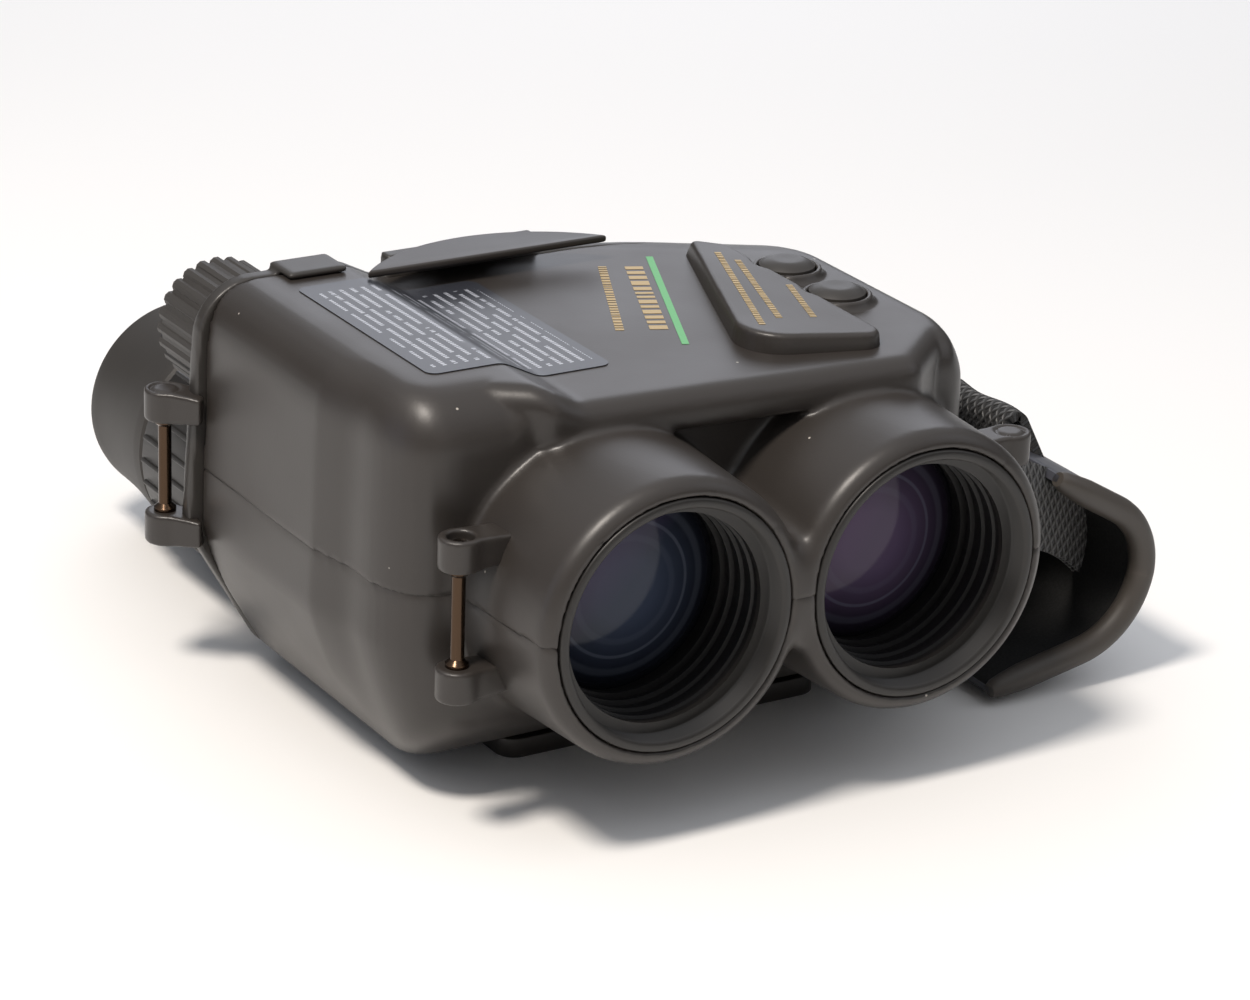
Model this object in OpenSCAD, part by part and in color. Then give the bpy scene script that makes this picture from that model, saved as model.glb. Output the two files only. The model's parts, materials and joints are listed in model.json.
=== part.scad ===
// Image-stabilised binoculars with a hand strap.
// Frame: origin at the mouth of the tripod socket, +Z up, +Y towards the eyepieces,
// +X towards the hand strap. Millimetres.

/* [Body] */
// Width of the grip on each side, from an objective's axis to the body's side
grip_w = 46.25; // [44:0.25:58]
// Length of the moulded body between its front face and the rear cover
body_l = 76.5; // [74:0.5:95]
// Height of the flat top above the resting plane
flat_z = 78; // [76:1:94]
// How far the grip bulge stands above the flat top
bulge_rise = 4; // [2:0.5:6]
// Width of the grip bulge on the top
bulge_w = 33.5; // [28:0.5:38]
// Wall of the moulded shells
wall = 2.5; // [2:0.1:3]
// Thickness of the rear cover
cover_t = 4; // [3:0.5:6]
// Height of the foot on the base plate
foot_h = 4; // [3:0.5:5]

/* [Objectives] */
// Distance between the two objective axes
objective_spacing = 54.5; // [54:0.5:66]
// Height of the optical axes above the resting plane
axis_z = 44; // [43:0.5:50]
// Outer radius of a barrel behind its rim
barrel_r = 28; // [27:0.5:32]
// Outer radius of an objective retaining ring
ring_r = 24.5; // [24:0.1:25]
// Depth of an objective retaining ring
ring_l = 5.5; // [5:0.5:8]
// Radius of the filter thread in a ring
filter_r = 22.5; // [22:0.1:23]
// Radius of an objective lens
lens_r = 20.2; // [18:0.1:20.4]
// How far the barrels stand in front of the body
barrel_l = 30.5; // [26:0.5:40]

/* [Eyepieces] */
// Distance from a turret's pivot to its eyepiece
eye_offset = 18.9; // [16:0.1:19]
// Angle of the eyepiece from straight below its pivot
eye_angle = 25.7; // [22:0.1:28]
// Outer radius of an eyepiece ring
eye_ring_r = 24.5; // [22:0.5:24.5]
// Outer radius of the eyecup's rear rim
cup_r = 21.5; // [20:0.5:23]
// Length of an eyecup
cup_l = 30; // [24:1:36]
// Radius of the turret's neck in the rear cover
neck_r = 14; // [13:0.5:15]

/* [Controls] */
// Radius of the focusing knob
knob_r = 13; // [11:0.5:14]
// How far the focusing knob stands behind the cover
knob_l = 19; // [14:1:26]
// Radius of the focusing shaft
shaft_r = 2; // [1.6:0.1:2.2]
// Radius of a power button
button_r = 5.7; // [5:0.1:6.2]
// How far a power button travels
button_travel = 1; // [0.6:0.1:1.2]

/* [Strap] */
// Diameter of a strap pin
pin_d = 2.6; // [2.2:0.1:3.2]
// Radius of the eye of a strap lug
lug_r = 4; // [3.6:0.1:4.4]
// Clear width between the two ears of a lug
lug_gap = 19.2; // [18:0.2:24]
// Thickness of an ear
ear_t = 6.4; // [5:0.2:8]
// How far the hand pad ends in front of the rear cover
pad_short = 9; // [6:0.5:12]
// Thickness of the hand pad
pad_t = 4.5; // [3:0.5:5]

/* [Fits] */
// Radial clearance of a running fit
run_gap = 0.05; // [0.02:0.01:0.09]
// Clearance between parts that must not touch
free_gap = 0.4; // [0.3:0.05:0.5]

/* [Hidden] */
$fn = 48;

// Places along Y
front_y = -60;
face_y = front_y + barrel_l;
cover_y = face_y + body_l;
rear_y = cover_y + cover_t;
// The ring gears' thickness and front face
gear_t = 3.2;
gear_y = cover_y - 8.6;
// Half sizes and heights
opt_x = objective_spacing / 2;
half_w = opt_x + grip_w;
bulge_z = flat_z + bulge_rise;
bulge_x = half_w - bulge_w;
floor_z = foot_h;

// ---- 2D helpers -------------------------------------------------------------
function unit(v) = v / norm(v);
function flat(p) = [p.x, p.y];
// Points of a corner b between a and c, rounded to the radius in b's third number
function corner(a, b, c, steps = 6) =
    let (u = unit(flat(a) - flat(b)), v = unit(flat(c) - flat(b)), half = acos(u * v) / 2)
    b.z == 0 || half > 89 ? [flat(b)] :
    let (centre = flat(b) + unit(u + v) * b.z / sin(half),
         p1 = flat(b) + u * b.z / tan(half) - centre,
         p2 = flat(b) + v * b.z / tan(half) - centre,
         a1 = atan2(p1.y, p1.x),
         turn = atan2(p1.x * p2.y - p1.y * p2.x, p1 * p2))
    [for (i = [0:steps]) let (a = a1 + turn * i / steps) centre + b.z * [cos(a), sin(a)]];
function rounded(p) =
    let (n = len(p)) [for (i = [0:n - 1]) each corner(p[(i + n - 1) % n], p[i], p[(i + 1) % n])];
function rounded_path(p) = let (n = len(p))
    [flat(p[0]), for (i = [1:n - 2]) each corner(p[i - 1], p[i], p[i + 1], 10), flat(p[n - 1])];
// Corners of a counter-clockwise outline moved inwards by w
function inset(p, w) =
    let (n = len(p))
    [for (i = [0:n - 1])
        let (u = unit(flat(p[i]) - flat(p[(i + n - 1) % n])), v = unit(flat(p[(i + 1) % n]) - flat(p[i])),
             m = [-u.y - v.y, u.x + v.x], convex = u.x * v.y - u.y * v.x > 0,
             q = flat(p[i]) + w * m / (1 + u * v))
        [q.x, q.y, p[i].z == 0 ? 0 : convex ? max(p[i].z - w, 0.5) : p[i].z + w]];
// Outline of a band of thickness t around a path
function side_points(p, d) =
    let (n = len(p))
    [for (i = [0:n - 1])
        let (t = unit(p[min(i + 1, n - 1)] - p[max(i - 1, 0)])) p[i] + d * [-t.y, t.x]];
function band(p, t) = let (a = side_points(p, t / 2), b = side_points(p, -t / 2), n = len(p))
    concat(a, [for (i = [n - 1:-1:0]) b[i]]);

// ---- 3D helpers -------------------------------------------------------------
module along_y(x, y, z) { translate([x, y, z]) rotate([-90, 0, 0]) children(); }
module rod_y(x, y0, y1, z, r) { along_y(x, y0, z) cylinder(r = r, h = y1 - y0); }
module rod_x(x0, x1, y, z, r) { translate([x0, y, z]) rotate([0, 90, 0]) cylinder(r = r, h = x1 - x0); }
module rod_z(x, y, z0, z1, r) { translate([x, y, z0]) cylinder(r = r, h = z1 - z0); }
module box(lo, hi) { translate(lo) cube(hi - lo); }
// Extrudes an outline of X and Z from y0 to y1
module slab_y(y0, y1) { translate([0, y1, 0]) rotate([90, 0, 0]) linear_extrude(y1 - y0) children(); }
// Places a child at each optical axis
module turned(x, y, z) { along_y(x, y, z) rotate_extrude() children(); }

// ---- Body outlines ----------------------------------------------------------
chamfer_z = 28;
chamfer_x = 16.5;
bulge_slope = 8;
// Cross-section in X and Z, counter-clockwise from the lower left
function body_section() = [
    [-half_w + chamfer_x, floor_z, 5], [half_w - chamfer_x, floor_z, 5],
    [half_w, floor_z + chamfer_z, 10], [half_w - 2, axis_z + 8, 12], [half_w - 12, flat_z - 5, 6],
    [half_w - 19, flat_z, 5], [-bulge_x + bulge_slope, flat_z, 4], [-bulge_x, bulge_z, 4],
    [-half_w + 3, bulge_z, 12], [-half_w, floor_z + chamfer_z, 10]];
// Plan in X and Y, counter-clockwise from the rear left
jog_y = 0;
grip_in = 3;
nose_x = 42;
nose_l = 8;
function body_plan() = [
    [-half_w - 1, rear_y + 1, 0], [-half_w - 1, jog_y, 0], [-half_w + grip_in, jog_y - 10, 12],
    [-half_w + grip_in, face_y, 13], [-nose_x - 6, face_y, 4], [-nose_x + 4, face_y - nose_l / 2, 4],
    [nose_x - 4, face_y - nose_l, 5], [nose_x + 10, face_y, 5],
    [nose_x + 13, face_y, 8], [half_w - 1, jog_y - 4, 14], [half_w + 1, jog_y + 4, 0],
    [half_w + 1, rear_y + 1, 0]];
module section(w = 0) { polygon(rounded(inset(body_section(), w))); }
// Everything under the plane that slopes the rear right corner of the top
corner_turn = 60;
corner_tilt = 33;
module under_corner(w = 0) {
    translate([half_w - 41, rear_y - 2, flat_z]) rotate([0, 0, corner_turn]) rotate([0, corner_tilt, 0])
        translate([-200, -200, -250 - w]) cube([400, 400, 250]);
}
module block(y1, w = 0) {
    intersection() {
        slab_y(face_y - nose_l - 1, y1) section(w);
        linear_extrude(bulge_z + 1) polygon(rounded(inset(body_plan(), w)));
        under_corner(w);
    }
}
rim_round = 3.5;
web_w = 16;
web_h = 11;
// One barrel with its rounded rim, open to the body behind
module barrel(x) {
    turned(x, front_y, axis_z) polygon(concat([[0, 0], [ring_r + free_gap, 0]],
        [for (a = [-90:15:0]) [barrel_r - rim_round + rim_round * cos(a), rim_round + rim_round * sin(a)]],
        [[barrel_r + 1.5, barrel_l + 4], [0, barrel_l + 4]]));
}
module outer_form() {
    block(cover_y);
    barrel(-opt_x);
    barrel(opt_x);
    box([-web_w / 2, front_y + 1, axis_z - web_h], [web_w / 2, face_y, axis_z + web_h]);
}
cell_r = 22.5;
cell_y = front_y + ring_l;
cell_l = 40;
module inner_form() {
    block(cover_y + 1, wall);
    for (x = [-opt_x, opt_x]) {
        rod_y(x, front_y - 1, cell_y, axis_z, ring_r + run_gap);
        rod_y(x, cell_y - 0.01, face_y + 12, axis_z, cell_r + run_gap);
    }
}

// ---- Shells -----------------------------------------------------------------
big = 200;
button_x = opt_x + 15.75;
button_ys = [-3, 15];
door_x0 = half_w - 29.5;
door_x1 = half_w - 11.5;
door_y0 = face_y + 20;
door_y1 = cover_y - 2;
door_z1 = floor_z + 13;
bush_r = 7;
// Screws that hold the base plate
screw_r = 1.2;
screw_head_r = 3;
head_z = [0.6, 2];
screw_at = [for (x = [-22, 22], y = [face_y + 26, cover_y - 14]) [x, y]];
// The hatch's outline through the bottom shell
module door_hole(gap = 0) {
    box([door_x0 - gap, door_y0 - gap, -1], [door_x1 + gap, door_y1 + gap, door_z1 + gap]);
}
hinge_y = door_y0 - 0.8;
hinge_z = floor_z - 0.8;
knuckle_r = 1.5;
knuckle_w = 2.6;
hinge_x = [door_x0 + 0.5, door_x0 + 10.7];
hinge_pin_r = 0.8;
collar_r = button_r + 1.4;
collar_h = 1.8;
button_well = collar_r + 0.3;
module top_housing() {
    color("#4b4640") difference() {
        union() {
            outer_form();
            for (y = button_ys) rod_z(button_x, y, flat_z - wall, flat_z + collar_h, collar_r);
        }
        inner_form();
        box([-big, -big, -1], [big, big, axis_z]);
        for (y = button_ys) rod_z(button_x, y, flat_z - 4, flat_z + collar_h + 1, button_r + free_gap / 2);
    }
}
module bottom_housing() {
    color("#45413c") difference() {
        union() {
            outer_form();
            for (x = [hinge_x[0], hinge_x[1] - knuckle_w])
                rod_x(x, x + knuckle_w, hinge_y, hinge_z, knuckle_r);
        }
        difference() {
            inner_form();
            for (p = screw_at) rod_z(p.x, p.y, 0, floor_z + 8, screw_head_r);
            rod_z(0, gimbal_y, 0, floor_z + wall + 8, 4);
        }
        box([-big, -big, axis_z], [big, big, big]);
        door_hole(free_gap / 2);
        rod_z(0, 0, -1, floor_z + 1, bush_r + 1.5);
        box([-bush_r - 1.6, -bush_r - 1.6, floor_z - 1], [bush_r + 1.6, bush_r + 1.6, floor_z + wall + 1]);
        rod_x(hinge_x[0], hinge_x[1], hinge_y, hinge_z, hinge_pin_r);
        rod_x(hinge_x[0] + knuckle_w, hinge_x[1] - knuckle_w, hinge_y, hinge_z, knuckle_r + free_gap);
        rod_z(0, gimbal_y, floor_z + wall + 3.5, big, pivot_r + run_gap);
        for (p = screw_at) rod_z(p.x, p.y, 0, floor_z + 6, screw_r + run_gap);
    }
}
// ---- Rear cover and what is on it -------------------------------------------
knob_x = -half_w + 17.5;
knob_z = flat_z - 12;
bush_wall = 1.6;
tongue_x = [-half_w + 19.5, -half_w + 32];
visor_stem = 17;
module rear_cover() {
    color("#413d38") difference() {
        union() {
            intersection() {
                slab_y(cover_y, rear_y) section();
                under_corner();
            }
            // Lip that locates the cover inside the shells
            difference() {
                intersection() {
                    slab_y(cover_y - 3, cover_y) section(wall + free_gap / 4);
                    under_corner(wall + free_gap / 4);
                }
                slab_y(cover_y - 4, cover_y + 1) section(2 * wall);
            }
            // Tongue that laps over the top of the grip bulge
            box([tongue_x[0], cover_y - 5, bulge_z + 0.05], [tongue_x[1], rear_y + 0.5, bulge_z + 1.4]);
            box([tongue_x[0], cover_y + 1, bulge_z - 3], [tongue_x[1], rear_y + 0.5, bulge_z + 1.4]);
            // Stem under the visor
            box([visor_x - visor_stem, cover_y, flat_z - 3], [visor_x + visor_stem, rear_y, visor_z]);
            rod_y(knob_x, cover_y - 6, rear_y + 1, knob_z, shaft_r + bush_wall + 2);
        }
        for (x = [-opt_x, opt_x]) rod_y(x, cover_y - 4, rear_y + 1, axis_z, neck_r + run_gap);
        rod_y(knob_x, cover_y - 7, rear_y + 2, knob_z, shaft_r + run_gap);
    }
}
visor_z = flat_z + 3.9;
visor_t = 1.5;
visor_x = -12.6;
visor_half = 27;
visor_d = 11.6;
visor_r = (visor_half * visor_half + visor_d * visor_d) / (2 * visor_d);
visor_front = rear_y - 14;
visor_span = asin(visor_half / visor_r);
// Thin D-shaped visor with a straight front edge
module rear_visor() {
    color("#4a4743") intersection() {
        translate([visor_x, visor_front, visor_z]) linear_extrude(visor_t) polygon([
            for (i = [-12:12]) [visor_r * sin(visor_span * i / 12),
                visor_d - visor_r * (1 - cos(visor_span * i / 12))]]);
        box([-half_w, 0, 0], [half_w, big, big]);
    }
}
plate_x = 36;
plate_y = [face_y + 15, cover_y - 5];
module base_plate() {
    color("#3f3c38") difference() {
        union() {
            linear_extrude(foot_h) polygon(rounded([[-plate_x, plate_y[0], 4], [plate_x, plate_y[0], 4],
                [plate_x, plate_y[1], 4], [-plate_x, plate_y[1], 4]]));
            rod_z(0, 0, foot_h - 0.01, foot_h + wall + 2, bush_r + 1.5);
        }
        rod_z(0, 0, -1, foot_h + wall + 3, bush_r);
        for (p = screw_at) {
            rod_z(p.x, p.y, -1, foot_h + 1, screw_r + free_gap);
            rod_z(p.x, p.y, -1, head_z[1], screw_head_r);
        }
    }
}
socket_r = 3.175;
socket_l = 8;
module tripod_bush() {
    color("#b0a98f") difference() {
        rod_z(0, 0, 0, socket_l + 2, bush_r);
        rod_z(0, 0, -1, socket_l, socket_r);
    }
}
panel_h = 3;
panel_x0 = opt_x - 22.6;
panel_y0 = face_y - 3;
panel_w = 32;
panel_tip = 35.5;
// Raised wedge beside the power buttons
module button_panel() {
    color("#4d4843") difference() {
        translate([0, 0, flat_z]) linear_extrude(panel_h) polygon(rounded([
            [panel_x0, panel_y0 + 10, 8], [panel_x0 + panel_w, panel_y0, 3.5],
            [panel_x0 + panel_w + 1, panel_tip - 6, 2], [panel_x0 + panel_w - 5, panel_tip, 1]]));
        for (y = button_ys) rod_z(button_x, y, flat_z - 1, flat_z + panel_h + 1, button_well);
    }
}
label_t = 0.2;
label_x = [-half_w + 18.5, -16];
label_y = [-16, 37.5];
// Blank information label folded over the edge of the bulge
module label_sheet() {
    color("#6b6c78") intersection() {
        difference() {
            slab_y(label_y[0], label_y[1]) section(-label_t);
            slab_y(label_y[0] - 1, label_y[1] + 1) section();
        }
        box([label_x[0], -big, flat_z - 1], [label_x[1], big, big]);
    }
}
// ---- Objectives -------------------------------------------------------------
module objective_ring(x) {
    color("#38342f") turned(x, front_y, axis_z) polygon([
        [filter_r, 0], [ring_r, 0], [ring_r, ring_l], [lens_r, ring_l], [lens_r, ring_l - 1.2],
        [filter_r, ring_l - 1.2]]);
}
lens_y = front_y + 18;
lens_t = 7;
seat_gap = 0.05;
// Tube with stepped baffles in front of the lens
tube_r = 20.8;
baffle_r = [20.1, 19.9, 19.6];
baffle_y = [3, 7, lens_y - cell_y - 1.4];
module objective_cell(x) {
    seat_y = [lens_y - cell_y, lens_y + lens_t + seat_gap - cell_y];
    color("#1c1a18") turned(x, cell_y, axis_z) polygon(concat(
        [[tube_r, 0.1], [cell_r, 0.1], [cell_r, cell_l], [16, cell_l], [16, cell_l - 2], [20.4, cell_l - 2],
        [20.4, seat_y[1]], [lens_r + seat_gap, seat_y[1]], [lens_r + seat_gap, seat_y[0]],
        [baffle_r[2], seat_y[0] - 0.2], [baffle_r[2], baffle_y[2]], [tube_r, baffle_y[2]]],
        [for (i = [1, 0]) each [[tube_r, baffle_y[i] + 1], [baffle_r[i], baffle_y[i] + 1],
            [baffle_r[i], baffle_y[i]], [tube_r, baffle_y[i]]]]));
}
// Cemented pair with a gently domed front
module objective_lens(x) {
    color("#5a5878") turned(x, lens_y, axis_z) polygon(concat([[0, lens_t]], [[lens_r, lens_t]],
        [for (a = [0:5]) let (r = lens_r * (1 - a / 5)) [r, 0.3 + 2.2 * pow(r / lens_r, 2)]]));
}
// ---- Strap lugs and pins ----------------------------------------------------
pin_r = pin_d / 2;
pin_reach = 5.45;
lug_front = [opt_x + barrel_r + pin_reach, face_y - 9];
lug_rear = [half_w + 1.6, rear_y + 2.4];
ear_low = axis_z - lug_gap / 2 - ear_t;
ear_high = axis_z + lug_gap / 2;
// Two ears that reach from the eye at p to the point q of the body
module lug(p, q) {
    d = unit(q - p);
    n = [-d.y, d.x];
    difference() {
        for (z = [ear_low, ear_high]) translate([0, 0, z]) {
            translate(p) cylinder(r = lug_r, h = ear_t);
            linear_extrude(ear_t)
                polygon([p + n * lug_r, q + n * (lug_r - 0.4), q - n * (lug_r - 0.4), p - n * lug_r]);
        }
        rod_z(p.x, p.y, ear_low + 1.2, ear_high + ear_t - 1.2, pin_r);
        block(rear_y);
        barrel(opt_x);
        barrel(-opt_x);
    }
}
module strap_lug(side, front) {
    p = front ? lug_front : lug_rear;
    q = front ? [opt_x + 20, lug_front.y + 1] : [half_w - 4, rear_y - 4];
    color("#47423c") lug([side * p.x, p.y], [side * q.x, q.y]);
}
module strap_pin(side, front) {
    p = front ? lug_front : lug_rear;
    color("#6b5a48") rod_z(side * p.x, p.y, ear_low + 1.2, ear_high + ear_t - 1.2, pin_r);
}
// ---- Hand strap -------------------------------------------------------------
web_t = 1.2;
web_tall = lug_gap - 1.4;
pad_y = [face_y - 8.5, cover_y - pad_short];
pad_path = [[half_w + 2.5, axis_z + 2], [half_w + 26.5, axis_z - 12, 10], [half_w + 23.5, 10, 14],
    [half_w - 10.5, pad_t / 2 + 1]];
web_drop = 20;
module hand_strap_pad() {
    color("#3a3a40") slab_y(pad_y[0], pad_y[1]) polygon(band(rounded_path(pad_path), pad_t));
}
// Strip with a loop round the pin at p, led to the inside of the pad at q
module webbing(p, q) {
    d = q - p;
    l = norm(d);
    h = web_tall / 2;
    lead = lug_r + 1;
    difference() {
        union() {
            rod_z(p.x, p.y, axis_z - h, axis_z + h, pin_r + 0.2 + web_t);
            translate([p.x, p.y, axis_z]) rotate([0, 0, atan2(d.y, d.x)]) slab_y(-web_t, web_t)
                polygon([[pin_r, -h], [lead, -h], [l, -h - web_drop], [l, h - web_drop], [lead, h],
                    [pin_r, h]]);
        }
        rod_z(p.x, p.y, 0, big, pin_r + 0.2);
    }
}
module hand_strap_front_webbing() { color("#262422") webbing(lug_front, [half_w + 23.2, face_y + 11]); }
module hand_strap_rear_webbing() { color("#262422") webbing(lug_rear, [half_w + 23.2, rear_y - 16]); }
// ---- Screws -----------------------------------------------------------------
module housing_screws() {
    color("#8a8a8a") for (p = screw_at) difference() {
        union() {
            rod_z(p.x, p.y, head_z[0], head_z[1], screw_head_r - 0.2);
            rod_z(p.x, p.y, head_z[1] - 0.1, floor_z + 5, screw_r);
        }
        box([p.x - 2, p.y - 0.4, 0], [p.x + 2, p.y + 0.4, head_z[0] + 0.5]);
    }
}
// ---- Electronics and power --------------------------------------------------
board_z = flat_z - 9.5;
module switch_board() {
    color("#2f6b3a") {
        difference() {
            box([button_x - 11, button_ys[0] - 8, board_z - 1.2], [button_x + 2, button_ys[1] + 8, board_z]);
            box([button_x - 5, 5, board_z - 2], [button_x - 3, 7, board_z + 1]);
        }
        for (y = button_ys) box([button_x - 4, y - 3, board_z], [button_x + 2, y + 3, board_z + 2.2]);
    }
}
board_x = -half_w + grip_in + wall + 1.5;
module circuit_board() {
    color("#2f6b3a") {
        box([board_x, -10, 34], [board_x + 1.6, cover_y - 8, 62]);
        for (y = [0, 14]) box([board_x + 1.6, y, 40], [board_x + 4, y + 9, 49]);
    }
}
cell_d = 14.2;
cell_len = 50.5;
cells_x = half_w - 19.9;
cells_z0 = floor_z + 9;
cells_y0 = door_y0 + 1.6;
cell_pitch = cell_d + 0.1;
module battery_cassette() {
    color("#24221f") {
        x0 = cells_x - cell_d / 2 - 1.1;
        x1 = cells_x + cell_d / 2 - 0.4;
        z1 = cells_z0 + 3.9 * cell_pitch;
        box([x0, cells_y0 - 1, cells_z0 + 2], [x0 + 0.9, cells_y0 + cell_len + 1, z1 - 2]);
        for (y = [cells_y0 - 1, cells_y0 + cell_len + 0.2]) slab_y(y, y + 0.8)
            polygon(rounded([[x0, cells_z0, 2], [x1, cells_z0, 6], [x1, z1, 6], [x0, z1, 2]]));
    }
}
module battery_cells() {
    color("#b08c4a") for (i = [0:3]) {
        rod_y(cells_x, cells_y0, cells_y0 + cell_len - 1, cells_z0 + cell_pitch * (i + 0.5), cell_d / 2);
        rod_y(cells_x, cells_y0 + cell_len - 1.01, cells_y0 + cell_len,
            cells_z0 + cell_pitch * (i + 0.5), 2.7);
    }
}
door_tab = [hinge_x[0] + knuckle_w + 0.3, hinge_x[1] - knuckle_w - 0.3];
// How far the hatch stops short of its rear edge, so that its corner clears as it swings
door_relief = 1;
module battery_door() {
    color("#45413c") difference() {
        union() {
            intersection() {
                difference() {
                    block(cover_y);
                    block(cover_y + 1, wall);
                }
                door_hole(-free_gap / 2);
                box([0, -big, 0], [big, door_y1 - door_relief, big]);
            }
            rod_x(door_tab[0], door_tab[1], hinge_y, hinge_z, knuckle_r);
            box([door_tab[0], hinge_y, hinge_z - 1], [door_tab[1], door_y0 + 3, floor_z + 0.2]);
        }
        box([door_tab[0] - 1, hinge_y - knuckle_r - 1, floor_z - 0.3],
            [door_tab[1] + 1, door_y0 + free_gap / 2, big]);
        rod_x(hinge_x[0], hinge_x[1], hinge_y, hinge_z, hinge_pin_r + run_gap);
    }
}
module battery_door_pin() { color("#8a8a8a") rod_x(hinge_x[0], hinge_x[1], hinge_y, hinge_z, hinge_pin_r); }
button_top = flat_z + panel_h + 0.4;
// Domed push button in its collared well
module power_button(y) {
    color("#3b3733") translate([button_x, y, 0]) rotate_extrude() polygon(concat(
        [[0, board_z + 2.3 + button_travel], [button_r - 1.5, board_z + 2.3 + button_travel],
         [button_r - 1.5, flat_z - 3.4], [button_r, flat_z - 3.4]],
        [for (a = [0:5]) let (r = button_r * (1 - a / 5)) [r, button_top - 1.6 * pow(r / button_r, 2)]]));
}
// ---- Focusing ---------------------------------------------------------------
knob_y0 = rear_y + 1.2;
screw_y0 = face_y + 16;
module focus_knob() {
    color("#3e3a35") difference() {
        turned(knob_x, knob_y0, knob_z) polygon(concat([[0, 0], [knob_r - 0.6, 0]],
            [for (a = [0:15:90]) [knob_r - 2 + 2 * cos(a), knob_l - 2 + 2 * sin(a)]], [[0, knob_l]]));
        rod_y(knob_x, knob_y0 - 1, knob_y0 + knob_l - 4, knob_z, shaft_r);
    }
}
module focus_shaft() {
    color("#9a9a9a") rod_y(knob_x, screw_y0, knob_y0 + knob_l - 4, knob_z, shaft_r);
}
carriage_y = face_y + 23.5;
carriage_t = 5;
focus_lens_r = 13;
guide_z = axis_z + 21;
module focus_carriage() {
    color("#55524d") difference() {
        union() {
            for (x = [-opt_x, opt_x]) rod_y(x, carriage_y, carriage_y + carriage_t, axis_z,
                focus_lens_r + 2.5);
            box([knob_x, carriage_y, guide_z - 1], [opt_x + 3, carriage_y + carriage_t, guide_z + 3]);
            for (x = [-opt_x, opt_x])
                box([x - 4, carriage_y, axis_z + focus_lens_r], [x + 4, carriage_y + carriage_t, guide_z]);
            rod_y(knob_x, carriage_y, carriage_y + carriage_t, knob_z, shaft_r + 2.5);
        }
        for (x = [-opt_x, opt_x]) rod_y(x, carriage_y - 1, carriage_y + carriage_t + 1, axis_z, focus_lens_r);
        rod_y(knob_x, carriage_y - 1, carriage_y + carriage_t + 1, knob_z, shaft_r + run_gap);
    }
}
module focusing_lens(x) {
    color("#9fb4c8") rod_y(x, carriage_y + 0.5, carriage_y + carriage_t - 0.5, axis_z, focus_lens_r);
}
// ---- Stabilised prisms ------------------------------------------------------
gimbal_y = (carriage_y + carriage_t + gear_y) / 2;
prism_w = 20;
frame_w = 23;
prism_l = 24;
pivot_r = 1.5;
ring_x = [opt_x + frame_w / 2 + 2, opt_x + frame_w / 2 + 4.8];
ring_h = [15.4, 18];
motor_r = 8;
// Rectangular ring that yaws about two upright pins and carries the two level ones
module outer_gimbal_frame() {
    color("#8f9296") difference() {
        union() {
            difference() {
                box([-ring_x[1], gimbal_y - 4, axis_z - ring_h[1]], [ring_x[1], gimbal_y + 4,
                    axis_z + ring_h[1]]);
                box([-ring_x[0], gimbal_y - 5, axis_z - ring_h[0]], [ring_x[0], gimbal_y + 5,
                    axis_z + ring_h[0]]);
            }
            rod_z(0, gimbal_y, axis_z + ring_h[1] - 0.01, flat_z - wall - 4, pivot_r);
            rod_z(0, gimbal_y, floor_z + wall + 4, axis_z - ring_h[1] + 0.01, pivot_r);
        }
        rod_x(-ring_x[1] - 1, ring_x[1] + 1, gimbal_y, axis_z, pivot_r + run_gap);
    }
}
// Twin square tubes for the prisms, joined by a bridge
module inner_gimbal_frame() {
    color("#767a80") {
        difference() {
            union() {
                for (x = [-opt_x, opt_x]) box([x - frame_w / 2, gimbal_y - prism_l / 2, axis_z - frame_w / 2],
                    [x + frame_w / 2, gimbal_y + prism_l / 2, axis_z + frame_w / 2]);
                box([-opt_x, gimbal_y - 4, axis_z - 5], [opt_x, gimbal_y + 4, axis_z + 5]);
            }
            for (x = [-opt_x, opt_x]) box([x - prism_w / 2 - 0.1, gimbal_y - prism_l,
                axis_z - prism_w / 2 - 0.1],
                [x + prism_w / 2 + 0.1, gimbal_y + prism_l, axis_z + prism_w / 2 + 0.1]);
        }
        pin_x = [opt_x + frame_w / 2 - 0.2, ring_x[1]];
        rod_x(pin_x[0], pin_x[1], gimbal_y, axis_z, pivot_r);
        rod_x(-pin_x[1], -pin_x[0], gimbal_y, axis_z, pivot_r);
    }
}
// Roof-prism pair drawn as one glass block with cut corners
module prism(x) {
    h = prism_w / 2;
    color("#c8d4dc") translate([x, 0, axis_z]) slab_y(gimbal_y - prism_l / 2 + 0.5,
        gimbal_y + prism_l / 2 - 0.5)
        polygon([[-h, -h + 3], [-h + 3, -h], [h - 3, -h], [h, -h + 3], [h, h - 3], [h - 3, h], [-h + 3,
            h], [-h, h - 3]]);
}
module gyro_sensor() {
    color("#2b2b2b") box([-7, gimbal_y - 10, axis_z - 4.5], [7, gimbal_y - 4, axis_z + 4.5]);
}
module yaw_motor() {
    color("#8a8a8a") difference() {
        rod_z(0, gimbal_y, flat_z - wall - 7.5, flat_z - wall, motor_r);
        rod_z(0, gimbal_y, flat_z - wall - 8, flat_z - wall - 3.5, pivot_r + run_gap);
    }
}
module pitch_motor() {
    color("#8a8a8a") box([-8, gimbal_y + 4, axis_z - ring_h[1]], [8, gimbal_y + 8, axis_z - ring_h[0]]);
}
// ---- Turrets and eyepieces --------------------------------------------------
gear_teeth = 60;
tooth_h = 0.85;
tooth_share = 0.44;
flank = 0.09;
sector_teeth = 6;
hub_r = neck_r + 3;
case_y = rear_y + 0.4;
case_l = 13;
case_r = 21;
case_wall = 2;
eye_x = opt_x + eye_offset * sin(eye_angle);
eye_z = axis_z - eye_offset * cos(eye_angle);
barrel_y = case_y + case_l;
eye_tube_r = 17;
eye_tube_l = 45;
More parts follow.
